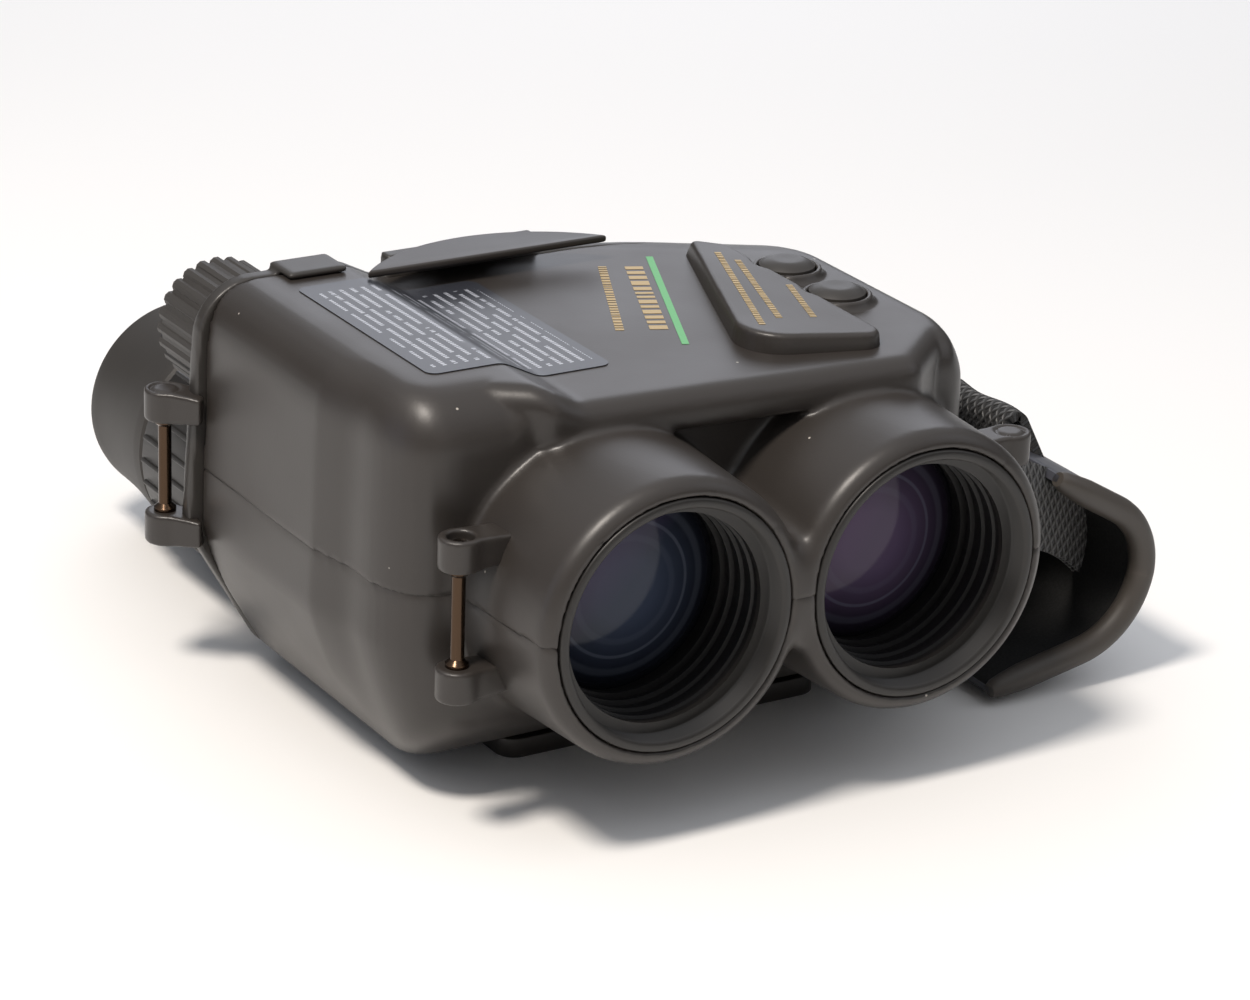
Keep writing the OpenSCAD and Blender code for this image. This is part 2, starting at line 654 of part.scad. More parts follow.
// Lobe round the pivot and the eyepiece, in X and Z
module lobe(side, r) {
    d = [-side * sin(eye_angle), cos(eye_angle)];
    n = [d.y, -d.x];
    e = [side * eye_x, eye_z];
    o = [side * opt_x, axis_z];
    translate(o) circle(r = r);
    translate(e) circle(r = r);
    polygon([o + n * r, o - n * r, e - n * r, e + n * r]);
}
module turret(side) {
    color("#413d38") difference() {
        union() {
            slab_y(case_y, case_y + case_l) lobe(side, case_r);
            rod_y(side * opt_x, gear_y - 0.4, case_y + 1, axis_z, neck_r);
        }
        slab_y(case_y + case_wall, case_y + case_l - case_wall) lobe(side, case_r - case_wall);
        rod_y(side * opt_x, gear_y - 1, case_y + case_wall + 1, axis_z, neck_r - 2);
        rod_y(side * eye_x, case_y + case_l - case_wall - 1, case_y + case_l + 1, eye_z, 13);
    }
}
function tooth(i, r, half, offset) = let (a = 360 * (i + offset) / gear_teeth) r * [cos(a + half),
    sin(a + half)];
// Ring gear on the turret's neck; the two rings mesh and so turn together
module turret_gear(side) {
    pitch = 360 / gear_teeth;
    shift = side < 0 ? 0 : 0.5;
    root = opt_x - tooth_h - 0.2;
    tip = opt_x + tooth_h;
    first = side < 0 ? -sector_teeth : gear_teeth / 2 - sector_teeth;
    color("#b0a070") translate([side * opt_x, 0, axis_z]) slab_y(gear_y, gear_y + gear_t) difference() {
        union() {
            circle(r = hub_r);
            polygon(concat([[0, 0]], [for (i = [first:first + 2 * sector_teeth]) each [
                tooth(i, root, -pitch * (tooth_share / 2 + flank), shift),
                tooth(i, tip, -pitch * (tooth_share / 2 - flank), shift),
                tooth(i, tip, pitch * (tooth_share / 2 - flank), shift),
                tooth(i, root, pitch * (tooth_share / 2 + flank), shift)]]));
        }
        circle(r = neck_r + seat_gap);
    }
}
rhomb_w = 13;
module rhomboid(side) {
    d = [side * sin(eye_angle), -cos(eye_angle)];
    n = [-d.y, d.x];
    h = rhomb_w / 2;
    o = [side * opt_x, axis_z];
    e = [side * eye_x, eye_z];
    color("#c8d4dc") slab_y(case_y + case_wall + 0.3, case_y + case_l - case_wall - 0.3)
        polygon([o - d * h + n * h, o - d * h - n * h, e + d * h - n * h, e + d * h + n * h]);
}
module eyepiece(side) {
    color("#1f1d1b") turned(side * eye_x, barrel_y, eye_z) polygon([
        [13, 0], [eye_tube_r, 0], [eye_tube_r, eye_tube_l], [12, eye_tube_l], [12, eye_tube_l - 2],
        [13.05, eye_tube_l - 2], [13.05, eye_tube_l - 8], [12, eye_tube_l - 8], [12, eye_tube_l - 10],
            [13, eye_tube_l - 10]]);
}
module eye_lens(side) {
    color("#7a86a0") rod_y(side * eye_x, barrel_y + eye_tube_l - 8, barrel_y + eye_tube_l - 2, eye_z, 13);
}
ring_len = 34;
module eye_ring(side) {
    color("#36322e") turned(side * eye_x, barrel_y + 0.4, eye_z) polygon([
        [eye_tube_r + run_gap, 0], [eye_ring_r - 1.5, 0], [eye_ring_r, 1.5], [eye_ring_r, ring_len - 1],
        [eye_ring_r - 1, ring_len], [eye_tube_r + run_gap, ring_len]]);
}
cup_y = barrel_y + ring_len + 0.8;
// Fold-down rubber cup pushed over the rear of the eyepiece tube
module eyecup(side) {
    deep = barrel_y + eye_tube_l - cup_y;
    color("#2a2826") turned(side * eye_x, cup_y, eye_z) polygon([
        [eye_tube_r, 0], [eye_ring_r - 1, 0], [eye_ring_r - 1, 3], [cup_r, cup_l - 1.5], [cup_r - 1, cup_l],
        [cup_r - 2.5, cup_l], [eye_tube_r + 1.5, deep + 1], [eye_tube_r, deep]]);
}

top_housing();
bottom_housing();
rear_cover();
base_plate();
tripod_bush();
rear_visor();
button_panel();
label_sheet();
objective_ring(-opt_x);  // objective_ring_left
objective_ring(opt_x);  // objective_ring_right
objective_cell(-opt_x);  // objective_cell_left
objective_cell(opt_x);  // objective_cell_right
objective_lens(-opt_x);  // objective_lens_left
objective_lens(opt_x);  // objective_lens_right
strap_lug(-1, true);  // strap_lug_front_left
strap_lug(-1, false);  // strap_lug_rear_left
strap_lug(1, true);  // strap_lug_front_right
strap_lug(1, false);  // strap_lug_rear_right
strap_pin(-1, true);  // strap_pin_front_left
strap_pin(-1, false);  // strap_pin_rear_left
strap_pin(1, true);  // strap_pin_front_right
strap_pin(1, false);  // strap_pin_rear_right
hand_strap_pad();
hand_strap_front_webbing();
hand_strap_rear_webbing();
housing_screws();
switch_board();
circuit_board();
battery_cassette();
battery_cells();
battery_door();
battery_door_pin();
power_button(button_ys[0]);  // power_on_button
power_button(button_ys[1]);  // power_off_button
focus_knob();
focus_shaft();
focus_carriage();
focusing_lens(-opt_x);  // focusing_lens_left
focusing_lens(opt_x);  // focusing_lens_right
outer_gimbal_frame();
inner_gimbal_frame();
prism(-opt_x);  // prism_left
prism(opt_x);  // prism_right
gyro_sensor();
yaw_motor();
pitch_motor();
turret(-1);  // turret_left
turret(1);  // turret_right
turret_gear(-1);  // turret_gear_left
turret_gear(1);  // turret_gear_right
rhomboid(-1);  // rhomboid_left
rhomboid(1);  // rhomboid_right
eyepiece(-1);  // eyepiece_left
eyepiece(1);  // eyepiece_right
eye_lens(-1);  // eye_lens_left
eye_lens(1);  // eye_lens_right
eyecup(-1);  // eyecup_left
eyecup(1);  // eyecup_right
eye_ring(-1);  // dioptre_ring
eye_ring(1);  // eyepiece_grip_ring
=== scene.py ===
import json
import math

import bmesh
import bpy
import numpy as np
from mathutils import Matrix, Vector


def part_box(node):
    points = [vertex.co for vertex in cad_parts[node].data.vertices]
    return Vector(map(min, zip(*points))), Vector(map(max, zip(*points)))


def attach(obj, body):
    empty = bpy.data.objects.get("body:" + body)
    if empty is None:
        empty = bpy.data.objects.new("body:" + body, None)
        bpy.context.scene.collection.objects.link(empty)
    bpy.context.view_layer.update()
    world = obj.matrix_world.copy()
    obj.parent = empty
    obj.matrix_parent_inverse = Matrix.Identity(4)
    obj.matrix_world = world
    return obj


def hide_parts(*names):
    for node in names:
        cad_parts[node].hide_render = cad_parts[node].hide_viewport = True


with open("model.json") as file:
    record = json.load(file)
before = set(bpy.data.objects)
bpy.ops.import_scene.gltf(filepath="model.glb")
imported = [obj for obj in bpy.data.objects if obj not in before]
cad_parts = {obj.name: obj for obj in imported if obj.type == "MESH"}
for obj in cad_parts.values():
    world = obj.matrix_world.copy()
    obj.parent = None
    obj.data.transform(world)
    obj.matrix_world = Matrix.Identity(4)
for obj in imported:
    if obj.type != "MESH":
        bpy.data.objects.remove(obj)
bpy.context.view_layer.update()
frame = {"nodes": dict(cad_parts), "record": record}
nodes = frame["nodes"]
mm = 0.001


def boxMm(*names):
    lows, highs = zip(*[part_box(n) for n in names])
    return np.min(lows, axis=0) / mm, np.max(highs, axis=0) / mm


def centreMm(name):
    lo, hi = boxMm(name)
    return (lo + hi) / 2


# the camera stands in front and to the left, a little above
shot = {
    "place": (-411.9, -657.0, 350.0),
    "azimuth": -31.948,
    "elevation": 21.649,
    "roll": 2.168,
    "lens": 123.6,
    "sensor": 36,
}


def makeCamera(s):
    a, e, roll = (math.radians(s[k]) for k in ("azimuth", "elevation", "roll"))
    back = Vector((math.sin(a) * math.cos(e), -math.cos(a) * math.cos(e), math.sin(e)))
    level = (-back).cross(Vector((0, 0, 1))).normalized()
    up = level.cross(-back)
    right = level * math.cos(roll) + up * math.sin(roll)
    up = -level * math.sin(roll) + up * math.cos(roll)
    data = bpy.data.cameras.new("camera")
    data.lens, data.sensor_width, data.clip_start = s["lens"], s["sensor"], 0.01
    cam = bpy.data.objects.new("camera", data)
    bpy.context.scene.collection.objects.link(cam)
    turn = Matrix((right, up, back)).transposed().to_4x4()
    cam.matrix_world = Matrix.Translation(Vector(s["place"]) * mm) @ turn
    bpy.context.scene.camera = cam


studio = {
    "target": (0, 0, 45),
    "key": {"at": (-430, -160, 860), "size": 200, "power": 7.5, "tint": "#fff6ec"},
    "front": {"at": (-120, -900, 420), "size": 600, "power": 0.3, "tint": "#fff4ea"},
    "right": {"at": (700, -350, 500), "size": 500, "power": 0.3, "tint": "#eef3ff"},
    "left": {"at": (-800, 150, 160), "size": 500, "power": 0.25, "tint": "#b9d2ff"},
    "back": {"at": (470, 760, 420), "size": 600, "power": 1.3, "tint": "#f2f5ff"},
    "sky": "#f1f4fa",
    "skyFrom": (0.15, 0.8),  # between these heights on the dome
    "skyPower": (0.05, 0.8),  # the light goes from this to this
    "floor": "#f3f2f0",
    "floorReach": 4,  # in metres
}


def linear(hexColour):
    rgb = [int(hexColour[i : i + 2], 16) / 255 for i in (1, 3, 5)]
    return [c / 12.92 if c < 0.04045 else ((c + 0.055) / 1.055) ** 2.4 for c in rgb] + [1.0]


def tinted(hexColour, factor):
    return [min(1, c * factor) for c in linear(hexColour)[:3]] + [1.0]


noiseNode, mixNode = "ShaderNodeTexNoise", "ShaderNodeMix"
mathNode, rangeNode = "ShaderNodeMath", "ShaderNodeMapRange"


# adds a node, sets its properties, and fills or links its inputs, given in order or by name or index;
# a colour mix has its factor at 0, its colours at 6 and 7 and its result at 2
def addNode(tree, kind, inputs=(), **settings):
    node = tree.nodes.new(kind)
    for key, value in settings.items():
        setattr(node, key, value)
    for key, value in inputs.items() if isinstance(inputs, dict) else enumerate(inputs):
        if isinstance(value, bpy.types.NodeSocket):
            tree.links.new(value, node.inputs[key])
        else:
            node.inputs[key].default_value = value
    return node


def newMaterial(name, **constants):
    mat = bpy.data.materials.new(name)
    mat.use_nodes = True
    tree = mat.node_tree
    tree.nodes.clear()
    shader = addNode(tree, "ShaderNodeBsdfPrincipled", {k.replace("_", " "): v for k, v in constants.items()})
    addNode(tree, "ShaderNodeOutputMaterial", {"Surface": shader.outputs[0]})
    where = addNode(tree, "ShaderNodeTexCoord").outputs["Object"]
    return mat, tree, shader, where


def makeLights(s):
    for name in ("key", "front", "right", "left", "back"):
        lamp = s[name]
        data = bpy.data.lights.new(name, "AREA")
        data.shape, data.size = "DISK", lamp["size"] * mm
        data.energy, data.color = lamp["power"], linear(lamp["tint"])[:3]
        obj = bpy.data.objects.new(name, data)
        bpy.context.scene.collection.objects.link(obj)
        place = Vector(lamp["at"]) * mm
        aim = (Vector(s["target"]) * mm - place).to_track_quat("-Z", "Y")
        obj.matrix_world = Matrix.Translation(place) @ aim.to_matrix().to_4x4()
    world = bpy.data.worlds.new("studio")
    world.use_nodes = True
    tree = world.node_tree
    sky = tree.nodes["Background"]
    sky.inputs["Color"].default_value = linear(s["sky"])
    toSky = addNode(tree, "ShaderNodeTexCoord").outputs["Generated"]
    height = addNode(tree, "ShaderNodeSeparateXYZ", [toSky]).outputs[2]
    power = addNode(tree, rangeNode, [height, *s["skyFrom"], *s["skyPower"]]).outputs[0]
    tree.links.new(power, sky.inputs["Strength"])
    bpy.context.scene.world = world
    bpy.context.scene.view_settings.view_transform = "Standard"


def makeFloor(s):
    # matt white studio board, with a faint unevenness
    mat, tree, shader, where = newMaterial("matteBoard", Roughness=0.9)
    cloud = addNode(tree, noiseNode, {"Vector": where, "Scale": 3.0}).outputs[0]
    tone = addNode(tree, mixNode, {0: cloud, 6: linear("#f6f5f3"), 7: linear(s["floor"])}, data_type="RGBA")
    tree.links.new(tone.outputs[2], shader.inputs["Base Color"])
    mesh = bpy.data.meshes.new("floor")
    reach = s["floorReach"]
    corners = [(-reach, -reach, 0), (reach, -reach, 0), (reach, reach, 0), (-reach, reach, 0)]
    mesh.from_pydata(corners, [], [(0, 1, 2, 3)])
    obj = bpy.data.objects.new("floor", mesh)
    bpy.context.scene.collection.objects.link(obj)
    mesh.materials.append(mat)


makeCamera(shot)
makeLights(studio)
makeFloor(studio)
print("studio ready")


# ABS moulded in a spark-eroded tool: satin, with a fine even grain, dust and rubbed edges
def mouldedAbs(name, base, grain=0.45, roughness=(0.34, 0.46), dust=True, bump=0.22):
    mat, tree, shader, where = newMaterial(name, IOR=1.5)
    cloud = addNode(tree, noiseNode, {"Vector": where, "Scale": 1 / (35 * mm), "Detail": 3.0}).outputs[0]
    tones = {0: cloud, 6: tinted(base, 0.86), 7: tinted(base, 1.18)}
    tone = addNode(tree, mixNode, tones, data_type="RGBA").outputs[2]
    # rubbed edges shine a little paler
    edge = addNode(tree, "ShaderNodeNewGeometry").outputs["Pointiness"]
    rubbed = addNode(tree, rangeNode, [edge, 0.52, 0.62, 0.0, 0.4]).outputs[0]
    tone = addNode(tree, mixNode, {0: rubbed, 6: tone, 7: tinted(base, 1.9)}, data_type="RGBA").outputs[2]
    if dust:
        # one cell in five of a 6 mm pattern holds a speck
        speck = addNode(tree, "ShaderNodeTexVoronoi", {"Vector": where, "Scale": 1 / (6 * mm)})
        small = addNode(tree, rangeNode, [speck.outputs["Distance"], 0.028, 0.05, 1.0, 0.0]).outputs[0]
        chance = addNode(tree, "ShaderNodeSeparateColor", [speck.outputs["Color"]]).outputs[0]
        rare = addNode(tree, mathNode, [chance, 0.8], operation="GREATER_THAN").outputs[0]
        both = addNode(tree, mathNode, [small, rare], operation="MULTIPLY").outputs[0]
        tone = addNode(tree, mixNode, {0: both, 6: tone, 7: linear("#b5aea4")}, data_type="RGBA").outputs[2]
    tree.links.new(tone, shader.inputs["Base Color"])
    fine = addNode(tree, noiseNode, {"Vector": where, "Scale": 1 / (grain * mm), "Detail": 2.0}).outputs[0]
    rough = addNode(tree, rangeNode, [cloud, 0.3, 0.7, *roughness]).outputs[0]
    tree.links.new(rough, shader.inputs["Roughness"])
    skin = addNode(tree, "ShaderNodeBump", {"Height": fine, "Strength": bump, "Distance": 0.05 * mm})
    tree.links.new(skin.outputs[0], shader.inputs["Normal"])
    return mat


# matt or satin paint, rubber and metals that only need a tone, a grain and a roughness range
def plainFinish(name, base, spread=0.15, grain=0.6, roughness=(0.4, 0.5), bump=0.1, metallic=0.0,
                stretch=(1, 1, 1), **extra):
    mat, tree, shader, where = newMaterial(name, Metallic=metallic, **extra)
    where = addNode(tree, "ShaderNodeMapping", {"Vector": where, "Scale": stretch}).outputs[0]
    fine = addNode(tree, noiseNode, {"Vector": where, "Scale": 1 / (grain * mm), "Detail": 3.0}).outputs[0]
    tones = {0: fine, 6: tinted(base, 1 - spread), 7: tinted(base, 1 + spread)}
    tree.links.new(addNode(tree, mixNode, tones, data_type="RGBA").outputs[2], shader.inputs["Base Color"])
    rough = addNode(tree, rangeNode, [fine, 0.3, 0.7, *roughness]).outputs[0]
    tree.links.new(rough, shader.inputs["Roughness"])
    skin = addNode(tree, "ShaderNodeBump", {"Height": fine, "Strength": bump, "Distance": 0.05 * mm})
    tree.links.new(skin.outputs[0], shader.inputs["Normal"])
    return mat


# multi-coated crown glass over a dark tube, as an opaque disc: slate blue in the middle, darker towards the rim,
# with a painted violet reflection to one side and thin pale rings painted as reflections of the rim of the rear
# element
def coatedGlass(name, centre, middle, reflectionTint, reflectionSide):
    mat, tree, shader, where = newMaterial(name, Roughness=0.1, IOR=1.3)
    x, y, z = (c * mm for c in centre)
    centred = {"Vector": where, "Location": (-x, 0, -z), "Scale": (1, 0, 1)}
    place = addNode(tree, "ShaderNodeMapping", centred).outputs[0]
    radius = addNode(tree, "ShaderNodeVectorMath", [place], operation="LENGTH").outputs["Value"]
    shade = addNode(tree, rangeNode, [radius, 6 * mm, 20 * mm, 0.0, 1.0]).outputs[0]
    tones = {0: shade, 6: linear(middle), 7: linear("#0c0c10")}
    tone = addNode(tree, mixNode, tones, data_type="RGBA").outputs[2]
    # the painted violet reflection, stronger towards one side
    side = addNode(tree, "ShaderNodeVectorMath", [place, reflectionSide], operation="DOT_PRODUCT").outputs["Value"]
    spread = addNode(tree, rangeNode, [side, 0.0, 18 * mm, 0.0, 0.85]).outputs[0]
    tone = addNode(tree, mixNode, {0: spread, 6: tone, 7: linear(reflectionTint)}, data_type="RGBA").outputs[2]
    # radius, half width and strength of each pale ring painted as a reflection
    for ringAt, width, strength in ((13.4, 0.2, 0.1), (16.6, 0.45, 0.06), (10.2, 0.4, 0.03)):
        off = addNode(tree, mathNode, [radius, ringAt * mm], operation="SUBTRACT").outputs[0]
        off = addNode(tree, mathNode, [off], operation="ABSOLUTE").outputs[0]
        ringReflection = addNode(tree, rangeNode, [off, width * mm, 2.2 * width * mm, strength, 0.0]).outputs[0]
        tone = addNode(tree, mixNode, {0: ringReflection, 6: tone, 7: linear("#a9b3c6")}, data_type="RGBA").outputs[2]
    tree.links.new(tone, shader.inputs["Base Color"])
    return mat


# nylon webbing in a coarse diamond weave, drawn at its real pitch on the strip's own map, with painted shade in
# the gaps between the yarns
def wovenNylon(name, yarn, gap, pitch):
    mat, tree, shader, where = newMaterial(name, Roughness=0.8, Sheen_Weight=0.25, Sheen_Roughness=0.5)
    uv = addNode(tree, "ShaderNodeUVMap", uv_map="UVMap").outputs[0]
    waves = []
    for turn in (45, -45):
        weave = {"Vector": uv, "Rotation": (0, 0, math.radians(turn)), "Scale": (1 / (pitch * mm),) * 3}
        spun = addNode(tree, "ShaderNodeMapping", weave).outputs[0]
        axis = addNode(tree, "ShaderNodeSeparateXYZ", [spun]).outputs[0]
        angle = addNode(tree, mathNode, [axis, 2 * math.pi], operation="MULTIPLY").outputs[0]
        waves.append(addNode(tree, mathNode, [angle], operation="SINE").outputs[0])
    top = addNode(tree, mathNode, waves, operation="MAXIMUM").outputs[0]
    lift = addNode(tree, rangeNode, [top, -0.4, 0.9, 0.0, 1.0]).outputs[0]
    fuzz = addNode(tree, noiseNode, {"Vector": where, "Scale": 1 / (0.3 * mm)}).outputs[0]
    thread = addNode(tree, mixNode, {0: fuzz, 6: tinted(yarn, 0.7), 7: linear(yarn)}, data_type="RGBA").outputs[2]
    # the gap colour is painted shade between the raised yarns
    tone = addNode(tree, mixNode, {0: lift, 6: linear(gap), 7: thread}, data_type="RGBA").outputs[2]
    tree.links.new(tone, shader.inputs["Base Color"])
    skin = addNode(tree, "ShaderNodeBump", {"Height": lift, "Strength": 0.9, "Distance": 0.6 * mm})
    tree.links.new(skin.outputs[0], shader.inputs["Normal"])
    return mat


# printed film: smoky base with blocks of plain pale strokes, each block (low x, high x, low y, high y) in mm
def printedFilm(name, base, ink, blocks, rowPitch=2.3, wordLength=4.2, letter=0.8):
    mat, tree, shader, where = newMaterial(name, Roughness=0.3, IOR=1.45)
    uv = addNode(tree, "ShaderNodeUVMap", uv_map="UVMap").outputs[0]
    u, v, _ = addNode(tree, "ShaderNodeSeparateXYZ", [uv]).outputs

    row = addNode(tree, mathNode, [u, 1 / (rowPitch * mm)], operation="MULTIPLY").outputs[0]
    rowPart = addNode(tree, mathNode, [row], operation="FRACT").outputs[0]
    rowNumber = addNode(tree, mathNode, [row], operation="FLOOR").outputs[0]
    rowShift = addNode(tree, mathNode, [rowNumber, 7.3], operation="MULTIPLY").outputs[0]
    wordAlong = addNode(tree, mathNode, [v, 1 / (wordLength * mm)], operation="MULTIPLY").outputs[0]
    word = addNode(tree, "ShaderNodeCombineXYZ", [rowShift, wordAlong]).outputs[0]
    wordNoise = addNode(tree, noiseNode, {"Vector": word, "Scale": 1.0}).outputs[0]
    letterAlong = addNode(tree, mathNode, [v, 1 / (letter * mm)], operation="MULTIPLY").outputs[0]
    letterPart = addNode(tree, mathNode, [letterAlong], operation="FRACT").outputs[0]
    # a stroke shows where its row, its word and its letter all leave ink
    mask = None
    for value, operation, limit in ((rowPart, "LESS_THAN", 0.36), (wordNoise, "GREATER_THAN", 0.42),
                                    (letterPart, "LESS_THAN", 0.66)):
        test = addNode(tree, mathNode, [value, limit], operation=operation).outputs[0]
        mask = test if mask is None else addNode(tree, mathNode, [mask, test], operation="MULTIPLY").outputs[0]

    inside = None
    for lowX, highX, lowY, highY in blocks:
        block = None
        for value, operation, limit in ((u, "GREATER_THAN", lowX), (u, "LESS_THAN", highX),
                                        (v, "GREATER_THAN", lowY), (v, "LESS_THAN", highY)):
            test = addNode(tree, mathNode, [value, limit * mm], operation=operation).outputs[0]
            if block is not None:
                test = addNode(tree, mathNode, [block, test], operation="MULTIPLY").outputs[0]
            block = test
        inside = block if inside is None else addNode(tree, mathNode, [inside, block], operation="ADD").outputs[0]
    mask = addNode(tree, mathNode, [inside, mask], operation="MULTIPLY").outputs[0]
    cloud = addNode(tree, noiseNode, {"Vector": where, "Scale": 1 / (9 * mm)}).outputs[0]
    film = addNode(tree, mixNode, {0: cloud, 6: tinted(base, 0.85), 7: linear(base)}, data_type="RGBA").outputs[2]
    tone = addNode(tree, mixNode, {0: mask, 6: film, 7: linear(ink)}, data_type="RGBA").outputs[2]
    tree.links.new(tone, shader.inputs["Base Color"])
    return mat


# screen-printed ink, flat and slightly glossy
def printedInk(name, hexColour):
    return plainFinish(name, hexColour, spread=0.06, grain=0.5, roughness=(0.35, 0.45), bump=0.05)


finish = {
    "shell_plastic": mouldedAbs("mouldedAbsShell", "#312d2a", roughness=(0.32, 0.42)),
    "dark_plastic": mouldedAbs("mouldedAbsDark", "#322f2c", roughness=(0.36, 0.46), dust=False),
    "ring_plastic": mouldedAbs("turnedNylonRing", "#1f1d1b", roughness=(0.36, 0.46), dust=False, bump=0.12),
    "baffle_black": plainFinish("mattBlackPaint", "#100f0f", roughness=(0.45, 0.6)),
    "prism_glass": plainFinish("polishedPrismGlass", "#c8d4dc", roughness=(0.03, 0.06), bump=0.0,
                               Transmission_Weight=0.6),
    "rubber_black": mouldedAbs("mouldedRubber", "#302d2a", roughness=(0.46, 0.6), dust=False, bump=0.3),
    "pin_steel": plainFinish("bronzedSteelPin", "#4c3d31", roughness=(0.16, 0.28), metallic=1.0,
                             stretch=(1, 1, 0.1)),
    "bush_brass": plainFinish("turnedBrass", "#b89a5c", roughness=(0.2, 0.34), metallic=1.0, stretch=(1, 1, 6)),
    "screw_steel": plainFinish("zincPlatedSteel", "#8d8f92", roughness=(0.25, 0.38), metallic=1.0),
    "alloy": plainFinish("castAluminium", "#8f9296", roughness=(0.36, 0.52), metallic=1.0, grain=0.9, bump=0.2),
    "pad_leather": mouldedAbs("syntheticLeather", "#3b3c42", grain=0.9, roughness=(0.42, 0.55), dust=False,
                              bump=0.45),
    "board_green": plainFinish("solderMaskBoard", "#2f6b3a", roughness=(0.3, 0.4), grain=3.0),
    "cell_jacket": plainFinish("printedShrinkSleeve", "#8a6f3c", roughness=(0.25, 0.35), grain=4.0),
    "web_fabric": wovenNylon("wovenNylonWebbing", "#282623", "#060505", 2.3),
}
# near-black painted shade for the pad's inner face, which lies in shadow
innerFaceShade = plainFinish("paintedShadeInnerFace", "#050505", roughness=(0.75, 0.9), grain=0.5, bump=0.3)
rimTrim = mouldedAbs("rolledVinylTrim", "#403b36", roughness=(0.42, 0.55), dust=False, bump=0.3)
foldWeave = wovenNylon("wovenNylonFold", "#1b1a19", "#040404", 1.6)
greenInk, goldInk = printedInk("printedGreenInk", "#4a9e58"), printedInk("printedGoldInk", "#a58c58")
labelFilm = printedFilm("printedPolyesterFilm", "#33353b", "#a4a7af", [(2.5, 15.5, 3, 49), (18.1, 37, 4, 49)])
# each glass: its centre, its middle, the tint of its painted reflection and the side that this reflection lies on
lensLeft = coatedGlass("coatedGlassLeft", centreMm("objective_lens_left"), "#3a4254", "#57456a", (-0.7, 0, 0.7))
lensRight = coatedGlass("coatedGlassRight", centreMm("objective_lens_right"), "#544760", "#684877",
                        (-0.6, 0, 0.3))
eyeGlass = {}
for side in ("left", "right"):
    centre = centreMm("eye_lens_" + side)
    eyeGlass[side] = coatedGlass("coatedEyeGlass" + side.title(), centre, "#20262e", "#33303e", (0.5, 0, 0.5))
print("finishes ready")


def finishPiece(obj, body, slotName, *replaced, material=None):
    if not obj.data.materials:
        obj.data.materials.append(material or finish[slotName])
    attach(obj, body)
    if replaced:
        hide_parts(*replaced)
    return obj


def newObject(name, mesh):
    obj = bpy.data.objects.new(name, mesh)
    bpy.context.scene.collection.objects.link(obj)
    return obj


# corner b between a and c, rounded to the radius in b's third number
def roundCorner(a, b, c, steps):
    p, u, v = (np.array(q[:2], float) for q in (b, a, c))
    u, v = (u - p) / np.linalg.norm(u - p), (v - p) / np.linalg.norm(v - p)
    half = math.acos(np.clip(u @ v, -1, 1)) / 2
    if len(b) < 3 or b[2] == 0 or half > 1.55:
        return [tuple(p)]
    centre = p + (u + v) / np.linalg.norm(u + v) * b[2] / math.sin(half)
    p1, p2 = (p + w * b[2] / math.tan(half) - centre for w in (u, v))
    start, turn = math.atan2(p1[1], p1[0]), math.atan2(p1[0] * p2[1] - p1[1] * p2[0], p1 @ p2)
    angles = start + turn * np.linspace(0, 1, steps + 1)
    return [tuple(centre + b[2] * np.array((math.cos(t), math.sin(t)))) for t in angles]


def roundedLoop(points, steps=8):
    n = len(points)
    return [q for i in range(n) for q in roundCorner(points[i - 1], points[i], points[(i + 1) % n], steps)]


def roundedPath(points, steps=10):
    inner = [q for i in range(1, len(points) - 1)
             for q in roundCorner(points[i - 1], points[i], points[i + 1], steps)]
    return [tuple(points[0][:2])] + inner + [tuple(points[-1][:2])]


# signed distance to a closed outline, negative inside
def outlineDistance(points, u, v):
    best = np.full(np.broadcast(u, v).shape, 1e9, np.float32)
    inside = np.zeros(best.shape, bool)
    for a, b in zip(points, points[1:] + points[:1]):
        e = (b[0] - a[0], b[1] - a[1])
        length = e[0] ** 2 + e[1] ** 2
        if length < 1e-9:
            continue
        t = np.clip(((u - a[0]) * e[0] + (v - a[1]) * e[1]) / length, 0, 1)
        best = np.minimum(best, (u - a[0] - t * e[0]) ** 2 + (v - a[1] - t * e[1]) ** 2)
        if e[1] != 0:
            inside ^= ((a[1] > v) != (b[1] > v)) & (u < a[0] + (v - a[1]) * e[0] / e[1])
    return np.where(inside, -1, 1) * np.sqrt(best)


# joins of two distance fields with a rounded edge of radius k
def softMax(a, b, k):
    k = np.float32(k) if np.isscalar(k) else k
    return np.minimum(-k, np.maximum(a, b)) + np.hypot(np.maximum(a + k, 0), np.maximum(b + k, 0))


def softMin(a, b, k):
    return -softMax(-a, -b, k)


def boxField(grid, lo, hi, k=0.5):
    d = None
    for axis, low, high in zip(grid, lo, hi):
        slab = np.maximum(low - axis, axis - high)
        d = slab if d is None else softMax(d, slab, k)
    return d


def gridOver(lo, hi, step):
    x, y, z = (np.arange(a, b + step, step, dtype=np.float32) for a, b in zip(lo, hi))
    return x[:, None, None], y[None, :, None], z[None, None, :]


